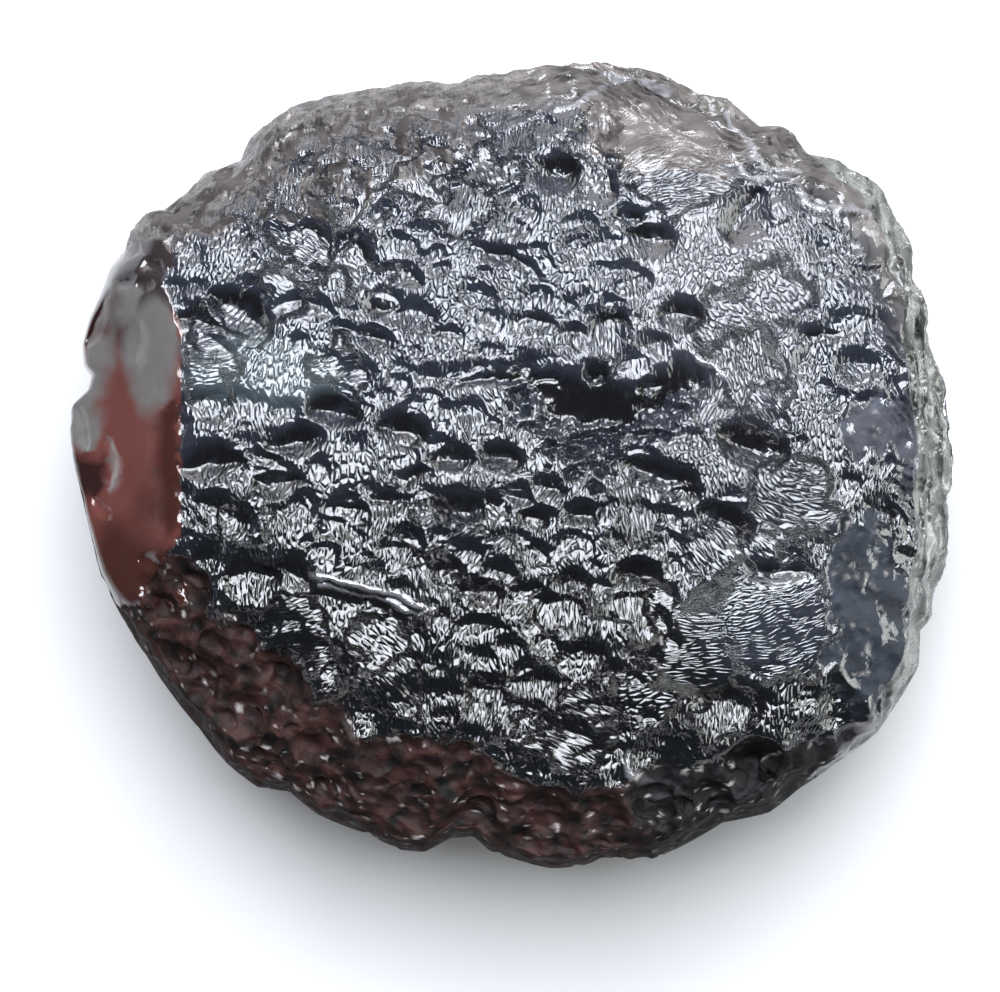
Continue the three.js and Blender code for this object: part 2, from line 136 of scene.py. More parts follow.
# Scoops: x, y, half width, half length, depth before SCOOP_DEPTH scales it, lean of the wall clockwise
# from +Y.
SCOOPS = [
    # along the foot of the hollow
    (4, 3.9, 0.7, 0.8, 1.7, 0), (6.9, 3.3, 0.9, 0.7, 1.4, 0), (8.1, 3.4, 0.9, 0.8, 1.3, 10),
    (1.5, 3.1, 0.8, 0.6, 1.3, 0), (0.2, 3.6, 0.9, 0.5, 1, 0), (2.6, 2.1, 0.9, 0.7, 1.5, 0),
    (5.3, 2.2, 1, 0.6, 1.3, 0), (-1.7, 3.7, 1.3, 0.5, 0.8, 0), (0.6, 2.3, 1.1, 0.5, 0.9, 0),
    # the double scoop at the upper left
    (-13.5, 6.9, 1.9, 1.6, 1.7, 32), (-15.4, 6.6, 1.4, 1, 1.4, 10), (-15.2, 5.6, 1.6, 0.8, 0.8, 30),
    # the upper left quarter
    (-10.2, 7.1, 1.2, 0.9, 0.8, 12), (-11.8, 14.6, 0.9, 0.9, 0.7, 0), (-10.6, 16.1, 1.1, 0.9, 0.5, 0),
    (-13.7, 13, 1.1, 0.9, 0.8, 12), (-9.7, 13.6, 0.9, 0.9, 0.8, 0), (-8.2, 13.6, 0.9, 0.9, 0.8, 10),
    (-8.6, 16.3, 0.9, 0.8, 0.5, 0), (-10.1, 10.1, 1.6, 1.4, 0.9, 40), (-7.9, 9.8, 1.3, 1.2, 1, 30),
    (-18.2, 9, 0.9, 0.9, 0.6, 0), (-6.3, 15.6, 0.9, 0.8, 0.6, 20), (-3.3, 14, 1, 1.2, 0.9, 35),
    (-1.3, 13.9, 1.2, 1.4, 0.9, 50), (-1.1, 12.2, 0.9, 0.8, 0.7, 30), (0.7, 11.9, 0.9, 0.9, 0.7, 20),
    (2.1, 14.1, 1.1, 1.3, 1.6, -10), (3.9, 15.9, 1.2, 1.4, 0.9, 0), (3.7, 14, 1.9, 1.5, 0.8, 75),
    (5.6, 11.8, 0.9, 0.8, 1.1, 0), (6.8, 10.5, 1.4, 1.4, 1.3, 8), (-0.8, 9.8, 0.9, 0.8, 0.9, 0),
    (0.4, 9.4, 0.9, 0.7, 0.8, 30), (-4.5, 11, 0.9, 0.8, 0.7, 20), (-5.3, 8.6, 0.9, 0.7, 0.8, 40),
    (-6.7, 7.4, 1, 0.8, 1, 0), (-5, 6.7, 1.4, 0.8, 0.8, 15), (-6.9, 5.5, 1.1, 0.8, 0.9, 20),
    (-3.2, 5.6, 1, 0.8, 0.6, 0), (0.8, 6.3, 1.1, 0.9, 0.8, 15), (4.7, 6, 1.1, 1.6, 1.2, 0),
    (2.9, 5.6, 1.1, 0.9, 0.7, 0), (6.8, 5.3, 1, 0.8, 0.8, -20),
    # the upper right quarter
    (11.4, 11.8, 1.5, 1.5, 1.5, -58), (17.4, 8.8, 0.9, 0.8, 0.7, -20), (18.4, 7.7, 0.9, 0.7, 0.6, 0),
    (15.3, 5.6, 1.2, 0.8, 0.9, -10), (17.3, 6.2, 1.6, 1.1, 0.6, 0), (8.3, 6.9, 1.1, 1, 1.2, 10),
    (14.7, 4.4, 1.3, 1.1, 0.8, -50), (16.9, 4.3, 1.2, 1, 0.8, 0), (18.4, 1.7, 2.3, 1.6, 0.6, 6),
    (8.4, 16.5, 3.6, 2.2, 0.7, 22), (14.7, 9.9, 2.6, 2, 0.4, 20),
    # the middle left
    (-9, 2, 1.5, 1.1, 1.7, 8), (-11, 0.7, 1.7, 0.9, 1.4, 0), (-14.9, -0.5, 1.8, 1.2, 1.6, 0),
    (-12.5, -0.1, 1.2, 0.8, 1, 0), (-14.6, 2.4, 2.4, 1, 0.7, 0), (-11.6, -1.3, 1.4, 0.9, 1.1, 0),
    (-14.3, -3, 1.8, 1.3, 1.2, 20), (-11, -2.8, 1.3, 0.8, 0.8, 0), (-8.3, -2.8, 1.1, 0.8, 0.8, 0),
    (-8.8, -3.7, 1, 0.8, 0.7, 20), (-15.1, -5.1, 1.1, 0.8, 0.9, 0), (-12.9, -6.2, 1.8, 1.5, 1.7, 0),
    (-11, -6.1, 1.2, 1.4, 1.3, 25), (-7.8, -8.6, 3.7, 2.1, 1.1, 18), (-10.5, -10.5, 2.4, 1.6, 0.7, 0),
    # the middle
    (-5.5, 1.1, 1.4, 1.1, 1.6, 6), (-3.3, -0.1, 1.1, 0.9, 1.2, 0), (-3.1, 2, 1.2, 0.7, 0.5, 0),
    (-0.8, -0.1, 1.2, 0.9, 1.2, 5), (-5, -1.2, 1, 0.8, 1, -30), (-6.2, -2.2, 1.1, 0.8, 0.9, 0),
    (-2.9, -2.6, 1.5, 1, 1.4, 0), (-1.2, -2.5, 0.9, 0.8, 0.9, 20), (-0.1, -2.1, 1, 0.7, 0.8, 10),
    (0.8, -3.3, 1, 0.9, 1.1, 25), (1.5, -1.8, 0.9, 0.9, 0.9, 20), (3.3, -3.1, 1.1, 0.9, 1.1, 0),
    (7, -1, 2.2, 1.1, 1.3, 8), (8.2, -1.8, 1.2, 0.9, 1, 0), (4.3, -1.6, 1.2, 1, 0.6, 0),
    (3, -4.8, 1.1, 0.9, 0.5, 0), (1, -5, 0.9, 0.8, 0.7, 20), (-3.3, -5.8, 1, 1, 1.1, 10),
    (-5.6, -5.4, 1.4, 1.3, 0.7, 10), (-1.8, -6.8, 1.3, 0.9, 1.2, 0), (0.4, -6.9, 0.9, 0.8, 0.8, 0),
    (2.7, -6.7, 1.1, 1.1, 1.1, 10), (5.9, -6.2, 1.2, 1.3, 1.4, 0), (2.2, -8, 1.5, 1.3, 1, 0),
    (5.8, -7.9, 1.5, 1.3, 0.8, 0), (-1.6, -9, 1.4, 1.1, 0.6, 0),
    # the middle right
    (11.7, 0.6, 2.1, 1.2, 1.7, 10), (10.3, -3.3, 1.5, 1.3, 1.6, 32), (12.8, -5.9, 1.6, 0.9, 1, 10),
    (18, -2.8, 1.1, 1, 1, 12),
    # the lower edge of the face
    (-4.1, -12.2, 1.5, 1.4, 0.8, 0), (-1.5, -12.2, 1.2, 1.5, 1.3, 0), (1, -11.6, 1.9, 1.1, 0.9, 0),
    (3.2, -10.5, 1.7, 1.3, 0.8, 0), (1.9, -14, 2.6, 1.2, 0.7, 20), (10.7, -12.6, 1.8, 1.7, 1.5, 10),
    (10.7, -15.6, 2, 1.3, 1, 0), (4.7, -15.3, 2, 1.3, 0.8, 10), (15.8, -13.7, 1.2, 1.1, 0.7, 0),
]

# Ledges that step down to the rim: the same six numbers.
LEDGES = [
    (11, 16.9, 1.8, 1.3, 0.9, 45), (13.3, 15.2, 2.3, 1.1, 1.1, 35), (13.9, 13.5, 2.7, 1, 0.9, 40),
    (16.8, 13.2, 2.2, 1.1, 0.9, 45), (16.4, 11.5, 2.4, 1.1, 0.6, 48), (19.5, 10, 2.2, 1.1, 0.8, 70),
    (20.2, 6.4, 2.2, 1.2, 0.9, 80), (20.6, 4.3, 1.5, 1.2, 0.9, 80), (3.4, 18.7, 1.9, 1, 0.7, 10),
    (6.4, 19, 1.7, 0.8, 0.6, 15), (-0.2, 18.7, 1.8, 0.8, 0.6, 0),
]

# Chips in the left facet: the same six numbers.
FACET_CHIPS = [
    (-20.5, -0.3, 1.4, 0.6, 0.5, 90), (-21.2, 6.9, 1.9, 0.7, 0.9, -58), (-22.3, 2.3, 0.8, 0.6, 0.5, 60),
    (-21.9, 1, 0.7, 0.5, 0.4, 80), (-19.6, 8.8, 0.6, 0.5, 0.6, 20), (-18.5, 8.4, 0.6, 0.6, 0.6, 0),
    (-19.3, 10.3, 0.7, 0.5, 0.6, 30), (-18.4, -5, 0.5, 0.4, 0.5, 0), (-17.8, -7.2, 0.8, 0.5, 0.7, 20),
    (-19, 5.9, 1.1, 0.5, 0.3, 100), (-20.9, -2.6, 0.5, 0.4, 0.4, 60),
]

# Small scoops that lie in a fixed order over the face: the share of the tries that is kept, least half
# width, how much wider the widest is, half length and depth for each half width, the whole range of leans.
SMALL_SCOOP_SEED = 515
SMALL_SCOOP_TRIES = 3000
SMALL_SCOOP_REACH = (22, 20)
SMALL_SCOOP_SHARE = 0.42
SMALL_SCOOP_WIDTH = (0.35, 0.6)
SMALL_SCOOP_LENGTH = 0.95
SMALL_SCOOP_DEPTH = 0.85
SMALL_SCOOP_LEAN = 60

# Round pits in the bevel: x, y, radius, depth.
BEVEL_PITS = [
    (-17.5, -8.2, 1.3, 0.45), (-17.2, -10.4, 1.5, 0.45), (-15.2, -9, 1.3, 0.4), (-13.3, -8.7, 1.2, 0.45),
    (-15.3, -11.2, 1.5, 0.5), (-13.5, -12.8, 1.5, 0.45), (-12.5, -15, 1.6, 0.5), (-10, -13.8, 1.7, 0.4),
    (-9, -16.5, 1.5, 0.45), (-6.6, -14.7, 1.4, 0.4), (-5.3, -17, 1.7, 0.6), (-2.9, -15.4, 1.3, 0.4),
    (-1.6, -17.3, 1.4, 0.5), (0.6, -15.6, 1.1, 0.4), (1.5, -17.7, 1.6, 0.5), (4.2, -18, 1.5, 0.45),
    (6.9, -17.2, 1.6, 0.5), (8.8, -17.6, 1.3, 0.4), (14.3, -15.6, 1.4, 0.45), (12.8, -16.7, 1.2, 0.4),
    (17.2, -14.2, 1.1, 0.35), (7.4, -15.4, 1.9, 0.8), (12, -15.7, 1.7, 0.7), (14.7, -14.5, 1.5, 0.7),
    (16.2, -12.8, 1.4, 0.6), (9.8, -17.2, 1.2, 0.5), (-7.3, -13, 1.5, 0.6), (-11.6, -10.9, 1.4, 0.6),
    (-15.9, -7, 1.2, 0.5),
]

# Pits spread evenly over the stone between two heights of a unit ball, which keep clear of the facet (y of
# its middle, half length), and worn pits of the rim (least radius, and how much more the widest has).
Pits = namedtuple("Pits", "seed count highest lowest radius_min radius_max depth_share")
BACK_PITS = Pits(20711, 90, -0.36, -0.92, 1.7, 3.9, 0.3)
SMALL_PITS = Pits(77, 1200, 0.05, -0.97, 0.45, 1.5, 0.32)
PIT_TURN = 2.39996
PIT_STRAY = 0.5
PIT_FREE_FACET = (1, 9)
WORN_PIT_SEED = 4242
WORN_PIT_COUNT = 3000
WORN_PIT_RADIUS = (0.24, 0.5)
WORN_PIT_DEPTH_SHARE = 0.3

# Thin raised ridges: their points, half width and height.
RIDGES = [
    ([(-10, -6), (-8.5, -6.2), (-6.7, -6.8), (-5.2, -7.5), (-4.1, -7.8)], 0.2, 0.12),
    ([(-9.7, -6.4), (-8.2, -6.8), (-6.3, -7.4), (-5, -8)], 0.15, 0.1),
    ([(8.7, 4.9), (10, 4.1), (10.5, 3.5)], 0.25, 0.15),
    ([(5.7, -14.9), (5.9, -15.9), (7.1, -17.1), (8.6, -18.1)], 0.25, 0.18),
    ([(2.1, 17.4), (3.3, 17.8), (4.5, 19)], 0.25, 0.18),
    ([(4.6, 19.6), (6.2, 19.5), (7.8, 19)], 0.3, 0.2),
    ([(10.9, 17.8), (11.1, 16.5), (11.8, 16.1), (11.9, 14.9), (12.9, 14.3), (14.3, 14.3)], 0.28, 0.2),
    ([(10.8, 14.9), (11.4, 13.8), (13.8, 13.8), (14.7, 12.5), (15.4, 12.4), (17.5, 12.2)], 0.28, 0.2),
]

# ---- streaks of the glass
STREAK_WIDTH = 0.25
STREAK_LENGTH = 0.58
STREAK_HEIGHT = 0.02
LONG_STREAK_WIDTH = 0.19
LONG_STREAK_FROM = 0.65

# Places where the streaks leave their general run: x, y, reach of the place, lean of the streaks
# clockwise from +Y, their length, their strength.
STREAK_PLACES = [
    (3.9, 15.9, 1.6, 0, 0.84, 1), (-10.4, 10.4, 1.6, -60, 0.72, 1), (-11.4, 8, 1.2, -50, 0.62, 0.8),
    (-7.6, 9.4, 1.3, -25, 0.58, 1), (-4.8, 13.8, 1.5, -25, 0.58, 1), (-1.3, 14, 1.5, -20, 0.72, 1),
    (4.7, 5.7, 1.4, 0, 0.96, 1), (-15, 4.1, 1.2, 80, 0.62, 0.8), (-8.5, 4.1, 1.2, 85, 0.58, 0.8),
    (-14.7, 5.8, 1.2, 80, 0.84, 0.9), (-13.3, 6.7, 1.6, 45, 0.62, 0.9), (12.7, 7.5, 1.8, -35, 0.58, 0.7),
    (10.4, 6.6, 1.5, -50, 0.58, 0.8), (11.3, 4.2, 1.8, -12, 0.72, 1), (12.4, 2.2, 1.4, -40, 0.9, 0.9),
    (9.6, 2, 1.2, 25, 0.9, 0.9), (12.7, -4.5, 1.5, -40, 0.72, 0.9), (10.2, -4.8, 1.4, -35, 0.9, 0.9),
    (6.3, -2.8, 1.4, -8, 1.08, 1), (2.3, 0.3, 1.2, -25, 0.62, 0.9), (-0.5, -0.8, 1.2, 25, 0.58, 0.9),
    (-1.6, -5.2, 1.5, 35, 0.72, 1), (-3.8, -3.9, 1.2, 45, 0.58, 1), (-5.7, -5.2, 1.2, 8, 0.72, 1),
    (-4.2, -7.1, 1.2, 0, 0.72, 1), (-13.3, -3.7, 1.3, 30, 0.58, 1), (-6.7, -9.3, 1.6, -50, 0.62, 0.9),
    (-11, -9.2, 2, 75, 0.72, 1), (-9.5, -11.4, 1.4, 60, 0.58, 1), (-6.1, -11.6, 1.5, -40, 0.72, 0.8),
    (2.2, -8, 1.5, 0, 0.9, 1), (5.8, -7.9, 1.5, 0, 0.9, 1), (1, -11.6, 1.6, 0, 0.9, 1),
    (-1.5, -12.8, 1.4, 10, 0.72, 1), (8, -10.1, 1.8, 85, 0.58, 0.9), (2.6, -13.8, 2, -65, 1.2, 1),
    (10.7, -13, 1.6, 0, 0.72, 0.9), (6.1, -12.3, 1.8, 80, 0.58, 0.9), (1.9, -4.3, 1.2, 10, 0.58, 0.9),
    (-10.9, 13.6, 1.3, 0, 0.8, 1), (-8.2, 12.7, 1.3, 0, 0.9, 1), (-12.9, 12, 1.2, 0, 0.8, 1),
    (-6.1, 14.2, 1.1, 5, 0.8, 1), (-7.8, 15, 1.1, 0, 0.8, 1), (-4.4, 16.1, 1.3, 0, 0.8, 1),
    (-0.2, 16.5, 1.3, 0, 0.8, 1), (-2.5, 12.3, 1.7, 10, 0.9, 1), (-10.4, 16.2, 1.1, 0, 0.8, 1),
]
# Places where the streaks run in rings: x and y of the middle of the rings, x and y of the place,
# its reach, streak length, strength, streak width.
RING_PLACES = [
    (15, 0.7, 13.6, -2.4, 2.2, 0.9, 0.85, 0.19), (9.4, 6.6, 8.2, 15.9, 3.6, 1.1, 0.9, 0.17),
    (8, 11, 8.7, -9.5, 2.4, 0.8, 0.45, 0.17), (8, 11, 12.9, -8.2, 3, 0.8, 0.45, 0.17),
]
# Clean, nearly unpitted places: x, y, half width, half height, streak strength.
SMOOTH_PLACES = [
    (10.4, 8, 4.6, 6.8, 0.8), (17.4, -7.8, 2.6, 4.8, 0.05), (8.2, 16.7, 3.8, 2.6, 0.6),
    (13.8, -2.4, 2.6, 2.2, 0.9), (11.3, -8.2, 3.8, 2.4, 0.9), (-12.5, 4, 3.6, 1.6, 1),
    (17.9, 1.2, 2.4, 1.8, 0.3), (-13.8, 6.5, 2.6, 1.6, 1),
]

# ---- soft edges of the zones
# Each soft edge is the value that it starts from and the value that it ends at.
FACE_TILT = (0.2, 0.6)
BEVEL_EDGE, BEVEL_ENDS, BEVEL_TILT = (-0.02, 0.01), (0.02, 0.08), (0.15, 0.5)
FLANK_EDGE, FLANK_ENDS, FLANK_TILT = (-0.005, 0.01), (0.03, 0.06), (0.5, 0.8)
BAND_EDGE, BAND_ENDS = (0.82, 0.9), (0.1, 0.5)
LEDGE_EDGE, LEDGE_ENDS = (0.80, 0.86), (0.5, 0.8)
SCOOP_EDGE, CUP_EDGE = (0.05, 0.2), (0.1, 0.35)
CLUSTER_EDGE, GAP_EDGE, LOWER_PART = (0.45, 0.6), (0.25, 0.55), (2, 6)
WORN_PIT_EDGE, RIDGE_FOOT, RIDGE_TOP = (0.02, 0.2), (0.01, 0.05), (0.04, 0.08)
COLOUR_FADE = (4.5, 8.0)
RUBBED_TILT = (0.1, 0.3)
STEP_EDGE = (0.33, 0.67)
# Where on the rim the ledges lie, in degrees anticlockwise from +X.
LEDGE_DIRECTION = 38
# Patterns are spread outwards down the walls, so that none is drawn out into upright lines there.
WALL_TOP = 14.0
WALL_SPREAD = 20.0

# ---- patterns of noise
# Every pattern ends with its layer, a number that picks one fixed pattern.
# Single patterns: spacing along x, spacing along y, layer.
RAGGED_WALLS = (1, 2, 73)
STREAK_RELIEF = (1, 1, 71)
STREAK_SHADES = (2, 1, 74)
BARE_FLECKS = (1.2, 1.5, 75)
STREAK_CLUSTERS = (1.7, 1.1, 76)
STREAK_GAPS = (1.3, 0.9, 72)
FLANK_WRINKLES = (0.3, 2.2, 54)
STEP_HEIGHTS = (5, 5, 51)
TINT_PATCHES = (2.3, 2.3, 81)
TINT_SPECKLES = (0.45, 0.45, 82)
GLINT_SPECKS = (0.25, 0.25, 83)
# Summed patterns: strength, spacing along x, spacing along y, layer.
CREST_NOISE = ((0.07, 2.4, 2.4, 46), (0.025, 1.1, 1.1, 41), (0.012, 0.4, 0.4, 42))
BEVEL_END_NOISE = ((0.5, 2.5, 2.5, 93), (0.2, 0.8, 0.8, 94))
FACE_NOISE = ((1.0, 3.5, 3.5, 44), (0.5, 1.6, 1.6, 45))
FACET_NOISE = ((0.3, 5, 1.6, 43),)
HOLLOW_TOP_NOISE = ((0.8, 0.7, 3, 95),)
HOLLOW_FOOT_NOISE = ((1.1, 0.9, 0.5, 96),)
HOLLOW_FINE_NOISE = ((0.8, 0.3, 0.25, 97),)
RING_NOISE = ((0.5, 1.0, 0.5, 67),)
FADE_NOISE = ((3, 2.5, 2.5, 92),)
RUBBED_RELIEF = ((0.16, 0.6, 0.6, 57), (0.08, 0.3, 0.3, 58))
DULL_RELIEF = ((0.16, 0.45, 0.45, 59), (0.07, 0.22, 0.22, 60))
STEP_PHASES = ((1.6, 1.6, 1.6, 52), (0.6, 0.5, 0.5, 53))
BAND_MOTTLING = ((0.8, 1.1, 1.1, 89), (0.9, 0.4, 0.4, 90))
# Painted shade of soft lumps on the dull places.
SKIN_LUMP_SHADING = ((0.9, 0.9, 0.9, 86),)
# Pushes along x and y: strength, spacing, layer for x, layer for y.
SCOOP_WARP = ((0.55, 1.5, 901, 902), (0.2, 0.5, 903, 904))
STREAK_DRIFT = ((1.0, 3.1, 61, 63), (0.3, 1.1, 62, 64))
STREAK_PLACE_DRIFT = ((1.6, 0.8, 65, 66),)
SKIN_DRIFT = ((1.6, 1.5, 84, 85), (1.4, 0.5, 87, 88))

# ---- colours of the stone: the worn skin's own colours, and painted sheen, shade, glints and reflections
# The face's colour low down and high up. The upper one is lighter, as a painted sheen of the light from
# above.
LOWER_TINT = (0.03, 0.034, 0.042)
UPPER_SHEEN_TINT = (0.125, 0.15, 0.22)
# Painted shade on the walls of the scoops.
CUP_WALL_SHADE_TINT = (0.028, 0.026, 0.026)
BAND_TINT = (0.54, 0.49, 0.46)
# The pale grey-green of the right flank is painted light caught by its thin glass edge.
FLANK_LIGHT_TINT = (0.84, 0.89, 0.82)
# The lower bevel's brown is partly the glass's own brown and partly painted warm light reflected onto it.
# It turns dark grey towards the right.
BEVEL_BROWN_AND_REFLECTION_TINT = (0.19, 0.078, 0.064)
DARK_BEVEL_TINT = (0.05, 0.05, 0.054)
# White specks painted on the dull places and the bevel: painted glints.
GLINT_SPECK_TINT = (2.4, 2.2, 2.1)
# A painted highlight along the tops of the thin ridges.
RIDGE_HIGHLIGHT_TINT = (1.5, 1.5, 1.6)
# Places painted lighter as a painted sheen: x, y, half width, half height, lean clockwise from +Y, colour.
PAINTED_SHEEN_PLACES = [
    (10.4, 7.3, 4.6, 6.9, 0, (0.19, 0.20, 0.27)), (12.6, -5.4, 4.4, 6.2, 0, (0.10, 0.12, 0.165)),
    (-12.6, 3.9, 3.9, 1.6, 0, (0.34, 0.45, 0.51)),
]
# Dull places on the face, where the skin lets no light through: x, y, half width, half height, lean
# clockwise from +Y, colour, how far the noise must rise for a fleck of bare glass to show, and how much
# of the colour such a fleck keeps. The first two have a fine grain.
SkinPlace = namedtuple("SkinPlace", "x y half_width half_height lean colour bare_from kept")
SKIN_PLACES = [
    SkinPlace(17.6, -7.9, 2.1, 4.6, 0, (0.125, 0.155, 0.215), 0.68, 1),
    SkinPlace(17.9, 1.1, 2.0, 1.4, 0, (0.30, 0.33, 0.42), 0.8, 1),
    SkinPlace(7.8, 16.2, 4.3, 2.5, 15, (0.62, 0.55, 0.53), 0.58, 1),
    SkinPlace(-9.4, 14.7, 8.0, 2.7, -17, (0.33, 0.285, 0.28), 0.45, 0.1),
]
GRAINED_SKIN = SKIN_PLACES[:2]
BAND_BARE_FROM = 0.7
# Colours of the left facet: painted reflections of the surroundings, and painted light through its thin
# glass.
FACET_REFLECTION_COLOURS = {
    "red": (0.68, 0.22, 0.18), "grey": (0.80, 0.76, 0.73), "dark": (0.13, 0.045, 0.04),
    "low": (0.24, 0.075, 0.055), "pale": (1.0, 0.85, 0.80), "dusk": (0.17, 0.13, 0.135),
}
# Painted reflections and light through the glass on the facet: x, y, half width, half height, lean
# clockwise from +Y, which colour.
FACET_REFLECTION_PATCHES = [
    (-19, 10, 3, 4, 0, "dusk"), (-20.7, 9.4, 0.5, 2.1, 30, "grey"), (-19.6, 7.2, 1, 0.9, 0, "grey"),
    (-21.3, 6.9, 0.6, 1.8, 32, "dark"), (-21.2, 4.3, 0.8, 1.5, 25, "grey"),
    (-18.1, 4.8, 1.3, 2.4, 5, "grey"), (-22, 1.6, 0.9, 1.1, 0, "grey"), (-21.6, -0.8, 0.8, 1, 0, "dark"),
    (-17.1, -0.6, 0.6, 2.8, 0, "low"),
]
# Painted highlight of a chip edge on the facet: middle x and y of its curve, radius, half length, half
# width.
CHIP_EDGE_HIGHLIGHT = (-22.6, -0.4, 2.5, 1.6, 0.2)

# ---- the glass
IOR = 1.52
TRANSMISSION = 0.93
ABSORBED_COLOUR = (0.53, 0.19, 0.06, 1)
ABSORPTION = 3200
BUMP_HEIGHT = 0.000045
CELL_TILT = 0.8
CELL_RANDOMNESS = 0.95
CELL_EDGE = 0.33
CRINKLE_SCALE = 2600
CRINKLE_DETAIL = 3
CRINKLE_STRENGTH = (0.15, 1.3)
ROUGHNESS = (0.10, 0.20)
ROUGHNESS_NOISE = (0.3, 0.7)
WORN_ROUGHNESS = 0.3
# The dull skin, and the mark from which a triangle has it.
SKIN_FROM = 0.45
SKIN_MARK = 0.6
SKIN_SPECULAR = 0.1
SKIN_CRINKLE = 2.0
SKIN_WORN_ROUGHNESS = 0.7

# ---- floor, light and camera, in metres
FLOOR_HALF = 1.5
FLOOR_COLOUR = (0.27, 0.27, 0.27, 1)
FLOOR_ROUGHNESS = 0.9
ROOM_COLOUR = (0.80, 0.86, 1.0, 1)
ROOM_STRENGTH = 0.12
# Soft lights: name, place, width, height, power, colour.
LIGHTS = [
    ("window", (0.0, 0.26, 0.545), 0.56, 0.56, 22.0, (0.90, 0.93, 1.0)),
    ("back", (0.0, 0.75, 0.25), 1.2, 0.5, 7.5, (1.0, 0.95, 0.90)),
    ("side", (0.7, 0.0, 0.22), 0.8, 0.45, 10.0, (0.97, 1.0, 0.96)),
]
LIGHT_AIM = (0, 0, 0.01)
CAMERA_ELEVATION = 87
CAMERA_DISTANCE = 0.1445
CAMERA_AIM = (-0.0007, -0.0016, 0.0084)
CAMERA_LENS = 100


# ---- numbers and noise
def draws(seed, rows, columns):
    """A table of numbers between 0 and 1 in a fixed order."""
    numbers, state = [], seed
    for _ in range(rows * columns):
        state = (state * 1664525 + 1013904223) & 0xFFFFFFFF
        numbers.append(state / 4294967296)
    return np.array(numbers).reshape(rows, columns)


def smoothstep(value, low, high):
    """0 up to low, 1 from high on, and a soft rise between them."""
    share = np.clip((value - low) / (high - low), 0, 1)
    return share * share * (3 - 2 * share)


def lattice(i, j, k):
    """One fixed number between 0 and 1 for each whole-number place."""
    mixed = (i * 374761393 + j * 668265263 + k * 2147483647 + 1442695041) & 0xFFFFFFFF
    mixed = ((mixed ^ (mixed >> 13)) * 1274126177) & 0xFFFFFFFF
    return ((mixed ^ (mixed >> 16)) & 0xFFFFFF) / 16777215


def noise(u, v, layer):
    """Smooth noise between 0 and 1 over a plane, each layer with its own turn."""
    sine, cosine = math.sin(0.7 * layer), math.cos(0.7 * layer)
    u, v = u * cosine - v * sine, u * sine + v * cosine
    i, j = np.floor(u).astype(np.int64), np.floor(v).astype(np.int64)
    s, t = u - i, v - j
    s, t = s * s * (3 - 2 * s), t * t * (3 - 2 * t)
    low = lattice(i, j, layer) * (1 - s) + lattice(i + 1, j, layer) * s
    high = lattice(i, j + 1, layer) * (1 - s) + lattice(i + 1, j + 1, layer) * s
    return low * (1 - t) + high * t


def pattern(x, y, single):
    """One pattern, between 0 and 1."""
    wide, tall, layer = single
    return noise(x / wide, y / tall, layer)


def rising(x, y, summed):
    """Summed patterns that only add."""
    return sum(strength * pattern(x, y, single) for strength, *single in summed)


def uneven(x, y, summed):
    """Summed patterns that add and take away alike."""
    return sum(strength * (pattern(x, y, single) - 0.5) for strength, *single in summed)


def drift(x, y, pushes):
    """How far each place is pushed along x and along y."""
    return [sum(push[0] * (noise(x / push[1], y / push[1], push[axis]) - 0.5) for push in pushes)
            for axis in (2, 3)]


def warped(x, y):
    """Places pushed about a little, push after push, so that no scoop keeps an even edge."""
    for strength, spacing, x_layer, y_layer in SCOOP_WARP:
        x = x + strength * (noise(x / spacing, y / spacing, x_layer) - 0.5)
        y = y + strength * (noise(x / spacing, y / spacing, y_layer) - 0.5)
    return x, y


def turned(x, y, lean):
    """Places counted across and along a direction that leans clockwise from +Y."""
    sine, cosine = math.sin(math.radians(lean)), math.cos(math.radians(lean))
    return x * cosine - y * sine, x * sine + y * cosine


def oval_share(x, y, middle_x, middle_y, half_width, half_height, lean, soft_from=0.6):
    """1 inside an oval, 0 outside it, with a soft edge."""
    across, along = turned(x - middle_x, y - middle_y, lean)
    across, along = across / half_width, along / half_height
    return 1 - smoothstep(across * across + along * along, soft_from, max(1.3, soft_from + 0.3))


def skin_share(x, y, place):
    """1 inside a dull place, 0 outside it, with a ragged edge."""
    push_x, push_y = drift(x, y, SKIN_DRIFT)
    return oval_share(x + push_x, y + push_y, *place[:5], 0.95)


def smooth_share(x, y):
    """How far each place lies inside the clean places, 0 to 1, and the streak strength there."""
    share = np.zeros(len(x))
    strength = np.ones(len(x))
    for middle_x, middle_y, half_width, half_height, strong in SMOOTH_PLACES:
        gap = ((x - middle_x) / half_width) ** 2 + ((y - middle_y) / half_height) ** 2
        inside = 1 - smoothstep(gap, 0.7, 1.2)
        strength = strength * (1 - inside) + strong * inside
        share = np.maximum(share, inside)
    return share, strength


# ---- the smooth stone, worked out
def rim_radius(angle):
    """Distance from the middle to the outline in each direction."""
    return np.interp(angle % (2 * math.pi), OUTLINE_ANGLES, OUTLINE_RADII, period=2 * math.pi)


def bevel_width(angle, bevel):
    """How far a bevel reaches in from the rim, as a share of the way to the middle."""
    end = math.cos(math.radians(bevel.spread))
    facing = np.clip((np.cos(angle - math.radians(bevel.direction)) - end) / (1 - end), 0, 1)
    return bevel.share * np.sqrt(facing)


def way_in(x, y, reach, bevel):
    """How far in from the rim each place counts as lying for a bevel, so that its edge is uneven."""
    stray = uneven(x, y, CREST_NOISE) * bevel.uneven * smoothstep(1 - reach, 0.0, 0.08)
    return np.maximum(0, 1 - reach + stray)


def ragged_ends(angle, u, v, bevel):
    """1 along a bevel and 0 past its two ends, with the ends drawn unevenly."""
    past = np.abs((angle - math.radians(bevel.direction) + math.pi) % (2 * math.pi) - math.pi)
    stray = uneven(u, v, BEVEL_END_NOISE)
    return smoothstep(math.radians(bevel.spread) - 0.05 + stray - past, 0, 0.12)


